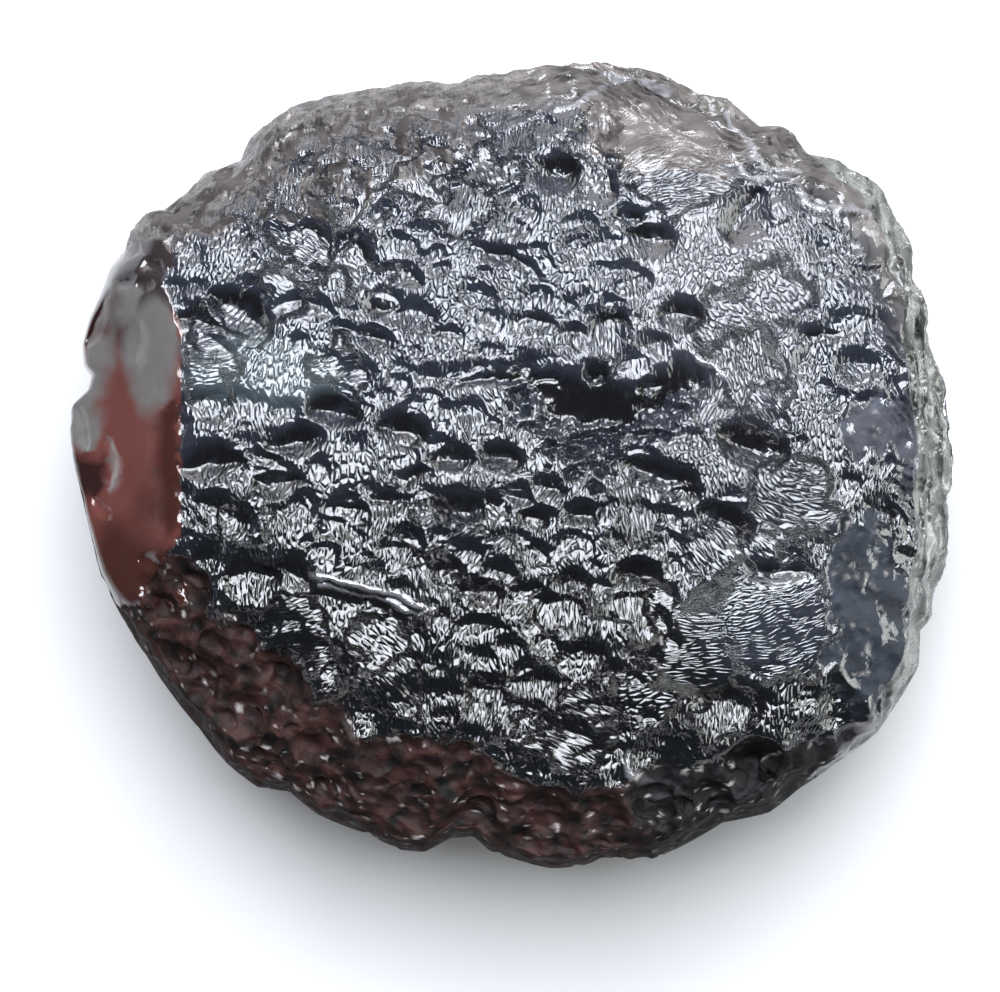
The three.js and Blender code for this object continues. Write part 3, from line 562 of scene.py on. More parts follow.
def soft_minimum(a, b):
    """The lower of two heights, rounded a little where they cross."""
    return (a + b - np.sqrt((a - b) ** 2 + CREST_ROUNDING ** 2)) / 2


def facet_crest(y):
    """Where along x the upper edge of the facet lies."""
    return FACET_EDGE + FACET_LEAN * y - FACET_CURVE * y * y


def beside_facet(y):
    """Whether each place lies as far along y as the facet does."""
    return (y > FACET_BOTTOM) & (y < FACET_TOP)


def smooth_stone(direction, face_split):
    """Places on the smooth stone for directions of a unit sphere."""
    angle = np.arctan2(direction[:, 1], direction[:, 0])
    on_face = direction[:, 2] > face_split
    pole = np.where(on_face, 1 - direction[:, 2], 1 + direction[:, 2])
    whole = np.where(on_face, 1 - face_split, 1 + face_split)
    way = np.sqrt(np.clip(pole / whole, 0, 1))
    reach = way + RIM_CROWDING * way * way * (1 - way)
    rim = rim_radius(angle)
    radius = rim * reach
    x = radius * np.cos(angle)
    y = radius * np.sin(angle)

    shoulder = SHOULDER - SHOULDER_TOP_DROP * np.clip(np.sin(angle), 0, 1) ** 1.5
    top_left = np.clip(1 - reach ** shoulder, 0, 1)
    top = MIDDLE_HEIGHT + FACE_RISE * top_left ** SHOULDER_ROUNDING
    top = top + FACE_WAVE * uneven(x, y, FACE_NOISE) * (1 - reach ** 4) * (1 - smooth_share(x, y)[0])
    out = facet_crest(y) - x + uneven(x, y, FACET_NOISE)
    hollow = FACET_HOLLOW * np.sin(math.pi * np.clip(out / FACET_HOLLOW_WIDTH, 0, 1))
    facet = np.maximum(MIDDLE_HEIGHT, FACET_EDGE_HEIGHT - FACET_SLOPE * out - hollow)
    top = soft_minimum(top, facet)
    for bevel in (LOWER_BEVEL, RIGHT_FLANK, RIGHT_FALL, BOTTOM_FALL):
        wide = np.maximum(LEAST_BEVEL_SHARE, bevel_width(angle, bevel))
        rise = 1 - (way_in(x, y, reach, bevel) / wide) ** bevel.rounding
        top = soft_minimum(top, np.maximum(MIDDLE_HEIGHT, bevel.crest - bevel.slope * wide * rim * rise))

    back_left = np.clip(1 - reach ** BACK_SHOULDER, 0, 1)
    back = np.maximum(0, MIDDLE_HEIGHT - BACK_DROP * back_left ** BACK_ROUNDING)
    return np.stack([x, y, np.where(on_face, top, back)], axis=1)


def unit_ball(rows):
    """Vertices and triangles of an icosahedron whose every face is divided into rows * rows."""
    gold = (1 + math.sqrt(5)) / 2
    corners = np.array([
        (-1, gold, 0), (1, gold, 0), (-1, -gold, 0), (1, -gold, 0), (0, -1, gold), (0, 1, gold),
        (0, -1, -gold), (0, 1, -gold), (gold, 0, -1), (gold, 0, 1), (-gold, 0, -1), (-gold, 0, 1),
    ])
    faces = [
        (0, 11, 5), (0, 5, 1), (0, 1, 7), (0, 7, 10), (0, 10, 11), (1, 5, 9), (5, 11, 4),
        (11, 10, 2), (10, 7, 6), (7, 1, 8), (3, 9, 4), (3, 4, 2), (3, 2, 6), (3, 6, 8),
        (3, 8, 9), (4, 9, 5), (2, 4, 11), (6, 2, 10), (8, 6, 7), (9, 8, 1),
    ]
    i, j = np.mgrid[:rows + 1, :rows + 1]
    inside = i + j <= rows
    number = np.cumsum(inside).reshape(inside.shape) - 1
    a, b = i[inside, None] / rows, j[inside, None] / rows
    upright, upside_down = ((0, 0), (1, 0), (0, 1)), ((1, 0), (1, 1), (0, 1))
    triangles = []
    for shorter, steps in ((1, upright), (2, upside_down)):
        start_i, start_j = np.nonzero(i + j <= rows - shorter)
        triangles.append(np.stack([number[start_i + di, start_j + dj] for di, dj in steps], axis=1))
    triangles = np.concatenate(triangles) + len(a) * np.arange(len(faces))[:, None, None]
    triangles = triangles.reshape(-1, 3)
    p, q, r = (corners[list(ends), None] for ends in zip(*faces))
    places = ((1 - a - b) * p + a * q + b * r).reshape(-1, 3)
    places /= np.linalg.norm(places, axis=1)[:, None]
    _, keep, same = np.unique(np.round(places, 6), axis=0, return_index=True, return_inverse=True)
    return places[keep], same.reshape(-1)[triangles]


def vertex_normals(places, triangles):
    """The normal at every place, from the triangles around it."""
    corner = places[triangles]
    across = np.cross(corner[:, 1] - corner[:, 0], corner[:, 2] - corner[:, 0])
    normals = np.zeros_like(places)
    for column in range(3):
        for axis in range(3):
            normals[:, axis] += np.bincount(triangles[:, column], across[:, axis], len(places))
    return normals / np.maximum(1e-12, np.linalg.norm(normals, axis=1))[:, None]


def stone_zones(base, normal):
    """The zones of the stone: mostly shares from 0 to 1 at every place of the smooth stone."""
    x, y = base[:, 0], base[:, 1]
    spread = 1 + np.maximum(0, WALL_TOP - base[:, 2]) / WALL_SPREAD
    u, v = x * spread, y * spread
    angle = np.arctan2(y, x)
    reach = np.hypot(x, y) / rim_radius(angle)
    facet = (x < FACET_EDGE + FACET_OVERLAP) & beside_facet(y)
    facet = facet & (normal[:, 0] < FACET_MOST_X) & (normal[:, 2] > FACET_LEAST_Z)
    lower, right = bevel_width(angle, LOWER_BEVEL), bevel_width(angle, RIGHT_FLANK)
    bevel = smoothstep(lower - way_in(x, y, reach, LOWER_BEVEL), *BEVEL_EDGE)
    bevel = bevel * smoothstep(lower, *BEVEL_ENDS) * (1 - facet)
    flank = smoothstep(right - way_in(x, y, reach, RIGHT_FLANK), *FLANK_EDGE)
    flank = flank * smoothstep(right, *FLANK_ENDS) * (1 - smoothstep(normal[:, 2], *FLANK_TILT))
    band = smoothstep(reach, *BAND_EDGE) * smoothstep(np.sin(angle), *BAND_ENDS) * (1 - facet)
    ledged = smoothstep(np.cos(angle - math.radians(LEDGE_DIRECTION)), *LEDGE_ENDS)
    ledged = smoothstep(reach, *LEDGE_EDGE) * ledged
    coloured = smoothstep(base[:, 2] + uneven(u, v, FADE_NOISE), *COLOUR_FADE)
    on_top = smoothstep(normal[:, 2], *FACE_TILT)
    return SimpleNamespace(
        x=x, y=y, u=u, v=v, reach=reach, facet=facet, bevel=bevel, flank=flank, band=band, ledged=ledged,
        on_top=on_top, face=np.nonzero(on_top > 0)[0],
        bevel_wear_and_reflection=bevel * coloured * ragged_ends(angle, u, v, LOWER_BEVEL),
        flank_light_share=flank * coloured * ragged_ends(angle, u, v, RIGHT_FLANK),
        worn_band=band * coloured,
    )


# ---- scoops and streaks of the face
def carve_scoops(x, y, rows, depth, on_wall, ragged):
    """Deepens depth by the scoops in rows, and notes which places lie on the wall of a scoop."""
    least, more = WALL_REACH
    order = np.argsort(x)
    sorted_x = x[order]
    for middle_x, middle_y, half_width, half_length, deep, lean in rows:
        reach = max(half_width, half_length)
        low, high = np.searchsorted(sorted_x, (middle_x - reach, middle_x + reach))
        near = order[low:high]
        near = near[np.abs(y[near] - middle_y) < reach]
        across, along = turned(x[near] - middle_x, y[near] - middle_y, lean)
        across, along = across / half_width, along / half_length
        inside = across * across + along * along < 1
        near, across, along = near[inside], across[inside], along[inside]
        edge = np.sqrt(1 - across * across)
        deepest = SCOOP_DEPTH * deep
        wall = min(WIDEST_WALL, deepest / WALL_SLOPE / half_length)
        fall = edge - along
        cut = deepest * np.minimum(fall / wall, (2 * edge - fall) / (2 - wall))
        deeper = cut > depth[near]
        depth[near[deeper]] = cut[deeper]
        on_wall[near[deeper]] = (fall < wall * (least + more * ragged[near]))[deeper]


def carve_hollow(x, y, depth, on_wall, ragged):
    """Deepens depth by the long hollow: a wall under its upper edge, and a floor that rises gently."""
    edge_x, tops, feet = np.array(HOLLOW).T
    top = np.interp(x, edge_x, tops) + uneven(x, y, HOLLOW_TOP_NOISE)
    foot = np.interp(x, edge_x, feet) - HOLLOW_FOOT_DROP + uneven(x, y, HOLLOW_FOOT_NOISE)
    foot = np.minimum(top, foot + uneven(x, y, HOLLOW_FINE_NOISE))
    deepest = HOLLOW_WALL_SLOPE * (top - foot)
    cut = np.where(y > foot, HOLLOW_WALL_SLOPE * (top - y), deepest - HOLLOW_FLOOR_SLOPE * (foot - y))
    deeper = (x > edge_x[0]) & (x < edge_x[-1]) & (y < top) & (cut > depth)
    depth[deeper] = cut[deeper]
    on_wall[deeper] = (y > foot - 0.5 * (ragged - 0.3))[deeper]


def small_scoops():
    """Rows of small scoops over the face, fewer on its clean places."""
    reach_x, reach_y = SMALL_SCOOP_REACH
    least, more = SMALL_SCOOP_WIDTH
    across, along, size, turn, luck = draws(SMALL_SCOOP_SEED, SMALL_SCOOP_TRIES, 5).T
    x, y = reach_x * (2 * across - 1), reach_y * (2 * along - 1)
    half_width = least + more * size * size
    rows = np.stack([
        x, y, half_width, half_width * SMALL_SCOOP_LENGTH, SMALL_SCOOP_DEPTH * half_width,
        SMALL_SCOOP_LEAN * (turn - 0.5),
    ], axis=1)
    return rows[luck <= SMALL_SCOOP_SHARE * (1 - smooth_share(x, y)[0])]


def ridge_height(x, y):
    """Height of the thin ridges over each place."""
    height = np.zeros(len(x))
    for points, half_width, tall in RIDGES:
        gap = np.full(len(x), np.inf)
        for (x0, y0), (x1, y1) in zip(points, points[1:]):
            run_x, run_y = x1 - x0, y1 - y0
            share = np.clip(((x - x0) * run_x + (y - y0) * run_y) / (run_x ** 2 + run_y ** 2), 0, 1)
            gap = np.minimum(gap, np.hypot(x - x0 - share * run_x, y - y0 - share * run_y))
        height = np.maximum(height, tall * (1 - smoothstep(gap / half_width, 0, 1)))
    return height


def streak_space(x, y, bent_x, bent_y):
    """Places across and along the streaks, counted in streaks, and the strength of the streaks."""
    push_x, push_y = drift(x, y, STREAK_DRIFT)
    across = (x + push_x) / STREAK_WIDTH
    along = (y + push_y) / STREAK_LENGTH
    strength = smooth_share(x, y)[1]
    push_x, push_y = drift(x, y, STREAK_PLACE_DRIFT)
    bent_x, bent_y = bent_x + push_x, bent_y + push_y
    nearest = np.full(len(x), 2.0)
    for middle_x, middle_y, reach, lean, length, strong in STREAK_PLACES:
        gap = np.hypot(bent_x - middle_x, bent_y - middle_y) / reach
        here = (gap < 1) & (gap < nearest)
        width = LONG_STREAK_WIDTH if length > LONG_STREAK_FROM else STREAK_WIDTH
        sideways, onward = turned(x[here], y[here], lean)
        across[here], along[here] = sideways / width, onward / length
        strength[here] = strong
        nearest = np.minimum(nearest, gap)
    edge = np.abs(nearest - 1) * 1.2
    for ring_x, ring_y, middle_x, middle_y, reach, length, strong, width in RING_PLACES:
        gap = np.hypot(bent_x - middle_x, bent_y - middle_y) / reach
        here = gap < 1
        out_x, out_y = x[here] - ring_x, y[here] - ring_y
        mid_x, mid_y = middle_x - ring_x, middle_y - ring_y
        turn = np.arctan2(mid_x * out_y - mid_y * out_x, mid_x * out_x + mid_y * out_y)
        across[here] = (np.hypot(out_x, out_y) + uneven(x[here], y[here], RING_NOISE)) / width
        along[here] = turn * math.hypot(mid_x, mid_y) / length
        strength[here] = strong
        edge = np.where(here, 1 - gap, np.minimum(edge, gap - 1))
    return across, along, strength * (0.35 + 0.65 * smoothstep(edge, 0.0, 0.1))


def carve_face(zones):
    """The relief of the face, at the places of the face alone: its cut, its scoops and its streaks."""
    face = zones.face
    x, y = zones.x[face], zones.y[face]
    bent_x, bent_y = warped(x, y)
    across, along, strength = streak_space(x, y, bent_x, bent_y)
    ragged = pattern(across, along, RAGGED_WALLS)

    scoop, on_wall = np.zeros(len(face)), np.zeros(len(face))
    carve_scoops(bent_x, bent_y, SCOOPS + LEDGES, scoop, on_wall, ragged)
    plain = 1 - 0.7 * smoothstep(scoop, *SCOOP_EDGE)
    carve_hollow(x + HOLLOW_WARP * (bent_x - x), y + HOLLOW_WARP * (bent_y - y), scoop, on_wall, ragged)
    scoop = scoop * np.where(beside_facet(y), smoothstep(x - facet_crest(y), -0.8, 0.1), 1)
    carve_scoops(bent_x, bent_y, FACET_CHIPS, scoop, on_wall, ragged)
    small, on_small_wall = np.zeros(len(face)), np.zeros(len(face))
    carve_scoops(bent_x, bent_y, small_scoops(), small, on_small_wall, ragged)
    small = small * (1 - zones.facet[face])
    ridge = ridge_height(bent_x, bent_y)

    band, reach = zones.band[face], zones.reach[face]
    cluster = smoothstep(pattern(x, y, STREAK_CLUSTERS) + 0.15 * smoothstep(-x, 0, 4), *CLUSTER_EDGE)
    gaps = 1 - smoothstep(pattern(x, y, STREAK_GAPS), *GAP_EDGE)
    lower_part = smoothstep(-y, *LOWER_PART)
    strength = strength * smoothstep(0.95 + 0.05 * band - reach, 0, 0.07) * (1 - zones.facet[face])
    for loss in (
        0.7 * band * (1 - cluster), 0.8 * np.maximum(zones.bevel, zones.ledged)[face], 0.65 * on_wall,
        0.45 * on_small_wall * (1 - smoothstep(scoop, *SCOOP_EDGE)), 0.35 * gaps * (1 - lower_part),
        0.8 * smoothstep(ridge, *RIDGE_FOOT),
    ):
        strength = strength * (1 - loss)
    streak = strength * STREAK_HEIGHT * 2 * (pattern(across, along, STREAK_RELIEF) - 0.5)
    return SimpleNamespace(
        x=x, y=y, across=across, along=along, strength=strength, cluster=cluster,
        flat_top=1 - 0.25 * lower_part - 0.15 * gaps, cup_wall_shade=on_wall * smoothstep(scoop, *CUP_EDGE),
        ridge_highlight=smoothstep(ridge, *RIDGE_TOP), fleck=pattern(across, along, BARE_FLECKS),
        cut=scoop + plain * small - streak - ridge,
    )


# ---- pits and worn relief
def spread_pits(pits):
    """Middles, radii and depths of pits spread evenly, but clear of the facet."""
    down, around, size, more_size = draws(pits.seed, pits.count, 4).T
    index = np.arange(pits.count)
    heights = pits.highest + (pits.lowest - pits.highest) * (index + down) / pits.count
    angles = index * PIT_TURN + PIT_STRAY * around
    radii = pits.radius_min + (pits.radius_max - pits.radius_min) * size * more_size
    ring = np.sqrt(1 - heights ** 2)
    direction = np.stack([ring * np.cos(angles), ring * np.sin(angles), heights], axis=1)
    middles = smooth_stone(direction, CAD_FACE_SPLIT)
    middle_y, half_length = PIT_FREE_FACET
    on_facet = (middles[:, 0] < FACET_EDGE) & (np.abs(middles[:, 1] - middle_y) < half_length)
    keep = ~(on_facet & (middles[:, 2] > MIDDLE_HEIGHT))
    return middles[keep], radii[keep], radii[keep] * pits.depth_share


def carve_pits(places, pits, depth):
    """Deepens depth by round pits."""
    order = np.argsort(places[:, 0])
    sorted_x = places[order, 0]
    for middle, radius, deep in zip(*pits):
        low, high = np.searchsorted(sorted_x, (middle[0] - radius, middle[0] + radius))
        near = order[low:high]
        near = near[np.abs(places[near, 1] - middle[1]) < radius]
        gap = ((places[near] - middle) ** 2).sum(axis=1) / radius ** 2
        depth[near] = np.maximum(depth[near], deep * (1 - gap))


def pit_depths(base, normal, zones):
    """Depth of all pits at every place, and of the worn pits of the rim alone."""
    pit = np.zeros(len(base))
    on_bevel = smoothstep(normal[:, 2], *BEVEL_TILT)
    for middle_x, middle_y, radius, deep in BEVEL_PITS:
        gap = ((zones.x - middle_x) ** 2 + (zones.y - middle_y) ** 2) / radius ** 2
        pit = np.maximum(pit, on_bevel * deep * (1 - gap))
    carve_pits(base, spread_pits(BACK_PITS), pit)

    pitted = np.maximum(np.maximum(zones.bevel, zones.flank), 0.7 * zones.band * (1 - zones.ledged))
    worn = np.nonzero((pitted > 0.5) & (normal[:, 2] > 0.1))[0]
    pick, size = draws(WORN_PIT_SEED, 2, WORN_PIT_COUNT)
    chosen = worn[(pick * len(worn)).astype(int)]
    least, more = WORN_PIT_RADIUS
    radii = least + more * size ** 2
    worn_pit = np.zeros(len(base))
    carve_pits(base, (base[chosen], radii, WORN_PIT_DEPTH_SHARE * radii), worn_pit)

    small_pit = np.zeros(len(base))
    carve_pits(base, spread_pits(SMALL_PITS), small_pit)
    off_flat = smoothstep(np.hypot(zones.x, zones.y), FLAT_SPOT_RADIUS, FLAT_SPOT_RADIUS + FLAT_SPOT_FADE)
    off_flat = np.where(normal[:, 2] < 0, off_flat, 1)
    return (pit + np.maximum(small_pit, worn_pit)) * off_flat, worn_pit


def add_worn_relief(place, normal, zones):
    """Lowers the flank in wrinkles and roughens the rubbed rim and the first dull places."""
    x, y, face = zones.x, zones.y, zones.face
    high = smoothstep(place[:, 2], MIDDLE_HEIGHT, MIDDLE_HEIGHT + 2)
    place[:, 2] -= zones.flank * pattern(x, y, FLANK_WRINKLES) * high
    rubbed = np.maximum(zones.bevel, 1.2 * zones.band) * rising(zones.u, zones.v, RUBBED_RELIEF)
    place[:, 2] -= rubbed * smoothstep(normal[:, 2], *RUBBED_TILT)
    grained = np.max([skin_share(x[face], y[face], skin) for skin in GRAINED_SKIN], axis=0)
    place[face, 2] -= grained * rising(x[face], y[face], DULL_RELIEF)
    place[:, 2] = np.maximum(0, place[:, 2])


def step_ledges(place, zones):
    """Turns the slope down to the rim at the upper right into small uneven steps."""
    step = 0.45 + 0.25 * pattern(zones.x, zones.y, STEP_HEIGHTS)
    phase = place[:, 2] / step + rising(zones.x, zones.y, STEP_PHASES)
    whole = np.floor(phase)
    stepped = whole + smoothstep(phase - whole, *STEP_EDGE)
    place[:, 2] += zones.ledged * step * (stepped - phase)


# ---- marks and colours on the mesh
def glass_marks(zones, relief):
    """Three marks that the material reads: strength of the streaks, wear, flatness of the streaks."""
    face = zones.face
    marks = np.zeros((len(zones.x), 3))
    marks[face, 0] = relief.strength * zones.on_top[face]
    wear = np.maximum(0.75 * zones.bevel_wear_and_reflection, 0.4 * np.maximum(zones.band, zones.flank))
    wear = np.maximum(wear, 0.12 * smooth_share(zones.x, zones.y)[0])
    dull = np.maximum(zones.band, zones.ledged)[face] * (1 - relief.cluster)
    dull = dull * (relief.fleck < BAND_BARE_FROM)
    for skin in SKIN_PLACES:
        share = skin_share(relief.x, relief.y, skin) * (1 - zones.flank[face])
        dull = np.maximum(dull, share * (relief.fleck < skin.bare_from))
    wear[face] = np.maximum(wear[face], SKIN_MARK * dull)
    marks[:, 1] = wear
    marks[face, 2] = relief.flat_top
    return marks


def over_stone(zones, values, elsewhere=0.0):
    """Values of the face, spread out over the whole stone."""
    spread = np.full(len(zones.x), elsewhere)
    spread[zones.face] = values
    return spread


def blend(tint, colour, share):
    """The tint with a share of colour laid over it."""
    return tint * (1 - share[:, None]) + np.array(colour) * share[:, None]


def shade(tint, change):
    """The tint made lighter or darker by a share of itself."""
    return tint * (1 + change)[:, None]


def painted_facet_reflections(x, y, patchy, speckled):
    """Painted reflections and light through the glass on the left facet, and a chip edge's painted
    highlight.
    """
    tint = np.tile(np.array(FACET_REFLECTION_COLOURS["low"]), (len(x), 1))
    tint = blend(tint, FACET_REFLECTION_COLOURS["red"], smoothstep(y + 4 * patchy, -4.5, -2.5))
    bent_x, bent_y = x + 0.6 * speckled, y + 1.2 * patchy
    for *oval, colour in FACET_REFLECTION_PATCHES:
        tint = blend(tint, FACET_REFLECTION_COLOURS[colour], oval_share(bent_x, bent_y, *oval, 1.1))
    scar_x, scar_y, radius, half_length, half_width = CHIP_EDGE_HIGHLIGHT
    beside = np.abs(np.hypot(x - scar_x, y - scar_y) - radius)
    width = half_width * np.clip(1 - ((y - scar_y) / half_length) ** 2, 0, 1)
    chip_highlight = (x > scar_x) * smoothstep(width - beside, -0.05, 0.05) * (width > 0)
    return blend(tint, FACET_REFLECTION_COLOURS["pale"], chip_highlight)


def stone_tint(zones, relief, worn_pit):
    """Colour of the stone: the worn skin's own colours, and painted sheen, shade, glints and reflections.
    """
    x, y, u, v = zones.x, zones.y, zones.u, zones.v
    bevel, band, flank = zones.bevel_wear_and_reflection, zones.worn_band, zones.flank_light_share
    patchy = pattern(u, v, TINT_PATCHES) - 0.5
    speckled = pattern(u, v, TINT_SPECKLES) - 0.5
    # Painted glints: tiny white specks.
    glint_speck = smoothstep(pattern(u, v, GLINT_SPECKS), 0.88, 0.96)
    # Painted shade in the worn pits, laid on the band and the bevel.
    worn_pit_shade = smoothstep(worn_pit, *WORN_PIT_EDGE)
    # Painted light and shade along the streaks.
    streak_light = over_stone(zones, pattern(relief.across, relief.along, STREAK_SHADES), 0.5)
    flecked = over_stone(zones, relief.fleck)

    tint = np.tile(np.array(LOWER_TINT), (len(x), 1))
    # The face is painted lighter towards the top: a painted sheen.
    tint = blend(tint, UPPER_SHEEN_TINT, smoothstep(y + 3 * patchy, -9, 7))
    # Lighter places of painted sheen.
    for *oval, colour in PAINTED_SHEEN_PLACES:
        tint = blend(tint, colour, oval_share(x + 1.5 * patchy, y - 1.5 * patchy, *oval))
    # The walls of the scoops are painted dark: painted shade.
    tint = blend(tint, CUP_WALL_SHADE_TINT, 0.9 * over_stone(zones, relief.cup_wall_shade))
    tint = shade(blend(tint, BAND_TINT, band), band * (rising(u, v, BAND_MOTTLING) - 0.85 - 0.5 * worn_pit_shade))
    # Painted shade and light over the dull places, as of soft lumps, with the streaks as painted
    # highlights.
    lump_shade_and_streak_light = 0.35 + rising(x, y, SKIN_LUMP_SHADING) + 0.4 * streak_light
    for skin in SKIN_PLACES:
        share = skin_share(x, y, skin) * (1 - flank) * np.where(flecked < skin.bare_from, 1, skin.kept)
        tint = shade(blend(tint, skin.colour, share), share * (lump_shade_and_streak_light - 1))
        tint = blend(tint, GLINT_SPECK_TINT, 0.6 * share * glint_speck)
    # The tops of the ridges are painted light: a painted highlight.
    tint = blend(tint, RIDGE_HIGHLIGHT_TINT, over_stone(zones, relief.ridge_highlight) * (0.35 + 0.6 * streak_light))
    # The right flank is painted pale, as light caught by its thin edge, with painted light and shade in
    # stripes along its wrinkles.
    tint = shade(blend(tint, FLANK_LIGHT_TINT, flank), flank * (1.9 * pattern(x, y, FLANK_WRINKLES) - 1.15))
    # The lower bevel: the glass's own brown with painted warm reflected light, going dark grey to the
    # right.
    to_dark = smoothstep(x + 3 * patchy, 5, 9)
    tint = blend(blend(tint, BEVEL_BROWN_AND_REFLECTION_TINT, bevel * (1 - to_dark)), DARK_BEVEL_TINT, bevel * to_dark)
    tint = shade(tint, bevel * (1.2 * speckled - 0.6 * worn_pit_shade))
    tint = blend(tint, GLINT_SPECK_TINT, bevel * glint_speck)
    return np.where(zones.facet[:, None], painted_facet_reflections(x, y, patchy, speckled), tint)


def build_stone():
    """Places and triangles of the finished stone, and what the material reads at each place."""
    ball, triangles = unit_ball(ROWS_PER_EDGE)
    base = smooth_stone(ball, FINE_FACE_SPLIT)
    normal = vertex_normals(base, triangles)
    zones = stone_zones(base, normal)
    relief = carve_face(zones)
    pit, worn_pit = pit_depths(base, normal, zones)
    place = base - normal * pit[:, None]
    place[zones.face, 2] -= zones.on_top[zones.face] * relief.cut
    place[:, 2] = np.maximum(0, place[:, 2])
    add_worn_relief(place, normal, zones)
    zones.ledged = zones.ledged * smoothstep(place[:, 2], MIDDLE_HEIGHT - 1, MIDDLE_HEIGHT + 1)
    step_ledges(place, zones)

    grain_space = np.zeros((len(base), 3))
    grain_space[zones.face, 0] = relief.across
    grain_space[zones.face, 1] = relief.along
    layers = {
        "grain_space": grain_space, "marks": glass_marks(zones, relief),
        "tint": stone_tint(zones, relief, worn_pit),
    }
    return place, triangles, layers


# ---- the mesh
def link(thing):
    bpy.context.scene.collection.objects.link(thing)
    return thing


places, triangles, layers = build_stone()
cad_low, cad_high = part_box("tektite")
low, high = places.min(axis=0), places.max(axis=0)
shift = np.array([
    (cad_low[0] + cad_high[0]) / 2 / MM - (low[0] + high[0]) / 2,
    (cad_low[1] + cad_high[1]) / 2 / MM - (low[1] + high[1]) / 2,
    0,
])

mesh = bpy.data.meshes.new("tektite_stone")
mesh.vertices.add(len(places))
mesh.vertices.foreach_set("co", ((places + shift) * MM).astype(np.float32).ravel())
mesh.loops.add(len(triangles) * 3)
mesh.loops.foreach_set("vertex_index", triangles.astype(np.int32).ravel())
mesh.polygons.add(len(triangles))
mesh.polygons.foreach_set("loop_start", np.arange(len(triangles), dtype=np.int32) * 3)
for name, values in layers.items():
    layer = mesh.attributes.new(name, "FLOAT_VECTOR", "POINT")
    layer.data.foreach_set("vector", values.astype(np.float32).ravel())
mesh.update(calc_edges=True)
mesh.polygons.foreach_set("use_smooth", np.ones(len(triangles), bool))
stone = link(bpy.data.objects.new("tektite_stone", mesh))

thin = stone.modifiers.new("fewer triangles", "DECIMATE")
thin.ratio = MOST_TRIANGLES / len(triangles)
evaluated = stone.evaluated_get(bpy.context.evaluated_depsgraph_get())
finished = bpy.data.meshes.new_from_object(evaluated)
stone.modifiers.clear()
stone.data = finished

# ---- the glass
glass = bpy.data.materials.new("tektite_glass")
glass.use_nodes = True
nodes, links = glass.node_tree.nodes, glass.node_tree.links
shader = nodes["Principled BSDF"]
shader.inputs["IOR"].default_value = IOR
shader.inputs["Transmission Weight"].default_value = TRANSMISSION


def add_node(kind, inputs, **settings):
    """A new node. Each input gets a number or the output of another node."""
    made = nodes.new("ShaderNode" + kind)
    for name, value in settings.items():
        setattr(made, name, value)
    for name, value in inputs.items():
        if isinstance(value, bpy.types.NodeSocket):
            links.new(value, made.inputs[name])
        else:
            made.inputs[name].default_value = value
    return made


absorption = add_node("VolumeAbsorption", {"Color": ABSORBED_COLOUR, "Density": ABSORPTION})
links.new(absorption.outputs["Volume"], nodes["Material Output"].inputs["Volume"])
tint = add_node("Attribute", {}, attribute_name="tint")
links.new(tint.outputs["Vector"], shader.inputs["Base Color"])
grain = add_node("Attribute", {}, attribute_name="grain_space").outputs["Vector"]
marks = add_node("Attribute", {}, attribute_name="marks")
marks = add_node("SeparateXYZ", {"Vector": marks.outputs["Vector"]})
streak_strength, wear, flatness = marks.outputs["X"], marks.outputs["Y"], marks.outputs["Z"]

# Each streak is a cell of a flat pattern, with rounded edges and a top that leans along the streak.
cell = {"Vector": grain, "Scale": 1.0, "Randomness": CELL_RANDOMNESS}
from_edge = add_node("TexVoronoi", cell, voronoi_dimensions="2D", feature="DISTANCE_TO_EDGE")
plateau = add_node("Math", {0: from_edge.outputs["Distance"], 1: flatness}, operation="MULTIPLY")
rounded = add_node("MapRange", {"Value": plateau.outputs["Value"], "From Max": CELL_EDGE},
                   interpolation_type="SMOOTHSTEP")
cells = add_node("TexVoronoi", cell, voronoi_dimensions="2D")
from_middle = add_node("VectorMath", {0: grain, 1: cells.outputs["Position"]}, operation="SUBTRACT")
along_cell = add_node("SeparateXYZ", {"Vector": from_middle.outputs["Vector"]})
tilted = add_node("Math", {0: along_cell.outputs["Y"], 1: -CELL_TILT, 2: rounded.outputs["Result"]},
                  operation="MULTIPLY_ADD")
streaks = add_node("Math", {0: tilted.outputs["Value"], 1: streak_strength}, operation="MULTIPLY")

# A fine crinkle lies over everything, and is stronger where the stone is worn.
place_node = add_node("TexCoord", {})
crinkle = add_node("TexNoise", {
    "Vector": place_node.outputs["Object"], "Scale": CRINKLE_SCALE, "Detail": CRINKLE_DETAIL,
})
crinkle_share = add_node("MapRange", {
    "Value": wear, "To Min": CRINKLE_STRENGTH[0], "To Max": CRINKLE_STRENGTH[1],
})
relief = add_node("Math", {
    0: crinkle.outputs["Fac"], 1: crinkle_share.outputs["Result"], 2: streaks.outputs["Value"],
}, operation="MULTIPLY_ADD")
bump = add_node("Bump", {"Strength": 1.0, "Distance": BUMP_HEIGHT, "Height": relief.outputs["Value"]})
links.new(bump.outputs["Normal"], shader.inputs["Normal"])

rough = add_node("MapRange", {
    "Value": crinkle.outputs["Fac"], "From Min": ROUGHNESS_NOISE[0], "From Max": ROUGHNESS_NOISE[1],
    "To Min": ROUGHNESS[0], "To Max": ROUGHNESS[1],
})
worn = add_node("Math", {0: wear, 1: WORN_ROUGHNESS, 2: rough.outputs["Result"]}, operation="MULTIPLY_ADD")
links.new(worn.outputs["Value"], shader.inputs["Roughness"])

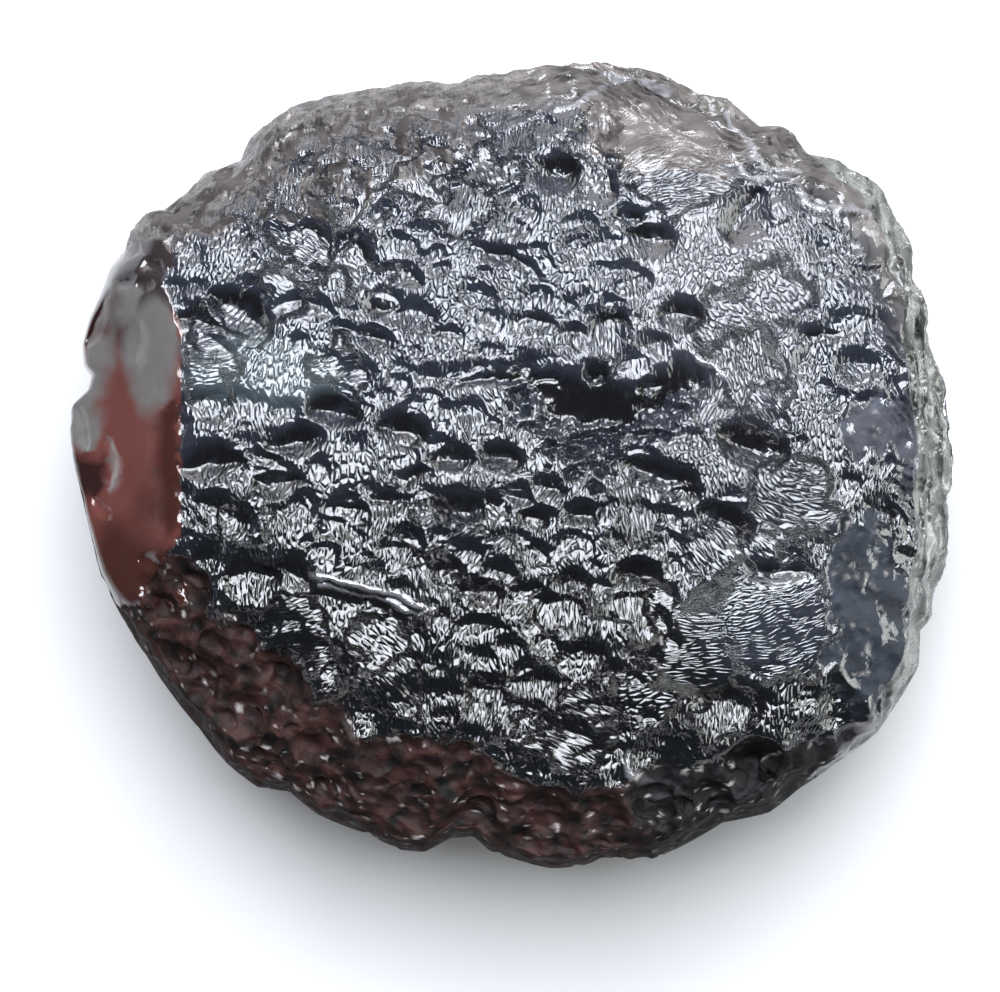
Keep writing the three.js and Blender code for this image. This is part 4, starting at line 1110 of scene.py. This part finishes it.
# The skin of the bevel and the dull places has the same grain, but lets no light through.
skin = glass.copy()
skin.name = "tektite_worn_skin"
nodes, links = skin.node_tree.nodes, skin.node_tree.links
nodes.remove(nodes[absorption.name])
skin_shader = nodes[shader.name]
skin_shader.inputs["Transmission Weight"].default_value = 0
skin_shader.inputs["Specular IOR Level"].default_value = SKIN_SPECULAR
nodes[worn.name].inputs[1].default_value = SKIN_WORN_ROUGHNESS
nodes[crinkle_share.name].inputs["To Max"].default_value = SKIN_CRINKLE
darker = add_node("VectorMath", {0: nodes[tint.name].outputs["Vector"], "Scale": 1 - TRANSMISSION},
                  operation="SCALE")
links.new(darker.outputs["Vector"], skin_shader.inputs["Base Color"])

stone.data.materials.clear()
stone.data.materials.append(glass)
stone.data.materials.append(skin)
worn_share = np.empty(len(finished.vertices) * 3, np.float32)
finished.attributes["marks"].data.foreach_get("vector", worn_share)
corners = np.empty(len(finished.loops), np.int32)
finished.loops.foreach_get("vertex_index", corners)
worn_share = worn_share.reshape(-1, 3)[corners.reshape(-1, 3), 1].mean(axis=1)
finished.polygons.foreach_set("material_index", (worn_share > SKIN_FROM).astype(np.int32))

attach(stone, "root")
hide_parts("tektite")

# ---- floor, light and camera
floor_mesh = bpy.data.meshes.new("floor")
corners = [(FLOOR_HALF * x, FLOOR_HALF * y, 0) for x, y in ((-1, -1), (1, -1), (1, 1), (-1, 1))]
floor_mesh.from_pydata(corners, [], [(0, 1, 2, 3)])
floor = link(bpy.data.objects.new("floor", floor_mesh))
paint = bpy.data.materials.new("floor_paint")
paint.use_nodes = True
paint.node_tree.nodes["Principled BSDF"].inputs["Base Color"].default_value = FLOOR_COLOUR
paint.node_tree.nodes["Principled BSDF"].inputs["Roughness"].default_value = FLOOR_ROUGHNESS
floor_mesh.materials.append(paint)

world = bpy.data.worlds.new("room")
bpy.context.scene.world = world
world.use_nodes = True
world.node_tree.nodes["Background"].inputs["Color"].default_value = ROOM_COLOUR
world.node_tree.nodes["Background"].inputs["Strength"].default_value = ROOM_STRENGTH


def point_at(thing, place, aim):
    """Puts a light or the camera at place, looking at aim."""
    thing.location = place
    thing.rotation_mode = "QUATERNION"
    thing.rotation_quaternion = (Vector(aim) - Vector(place)).to_track_quat("-Z", "Y")


for name, place, width, height, power, colour in LIGHTS:
    data = bpy.data.lights.new(name, "AREA")
    data.shape = "RECTANGLE"
    data.size = width
    data.size_y = height
    data.energy = power
    data.color = colour
    light = link(bpy.data.objects.new(name, data))
    point_at(light, place, LIGHT_AIM)

camera_data = bpy.data.cameras.new("camera")
camera_data.sensor_width = 36
camera_data.lens = CAMERA_LENS
camera_data.clip_start = 0.001
camera_data.clip_end = 10
camera = link(bpy.data.objects.new("camera", camera_data))
elevation = math.radians(CAMERA_ELEVATION)
away = Vector((0, -math.cos(elevation), math.sin(elevation))) * CAMERA_DISTANCE
point_at(camera, Vector(CAMERA_AIM) + away, CAMERA_AIM)
bpy.context.scene.camera = camera

bpy.context.scene.view_settings.view_transform = "Standard"
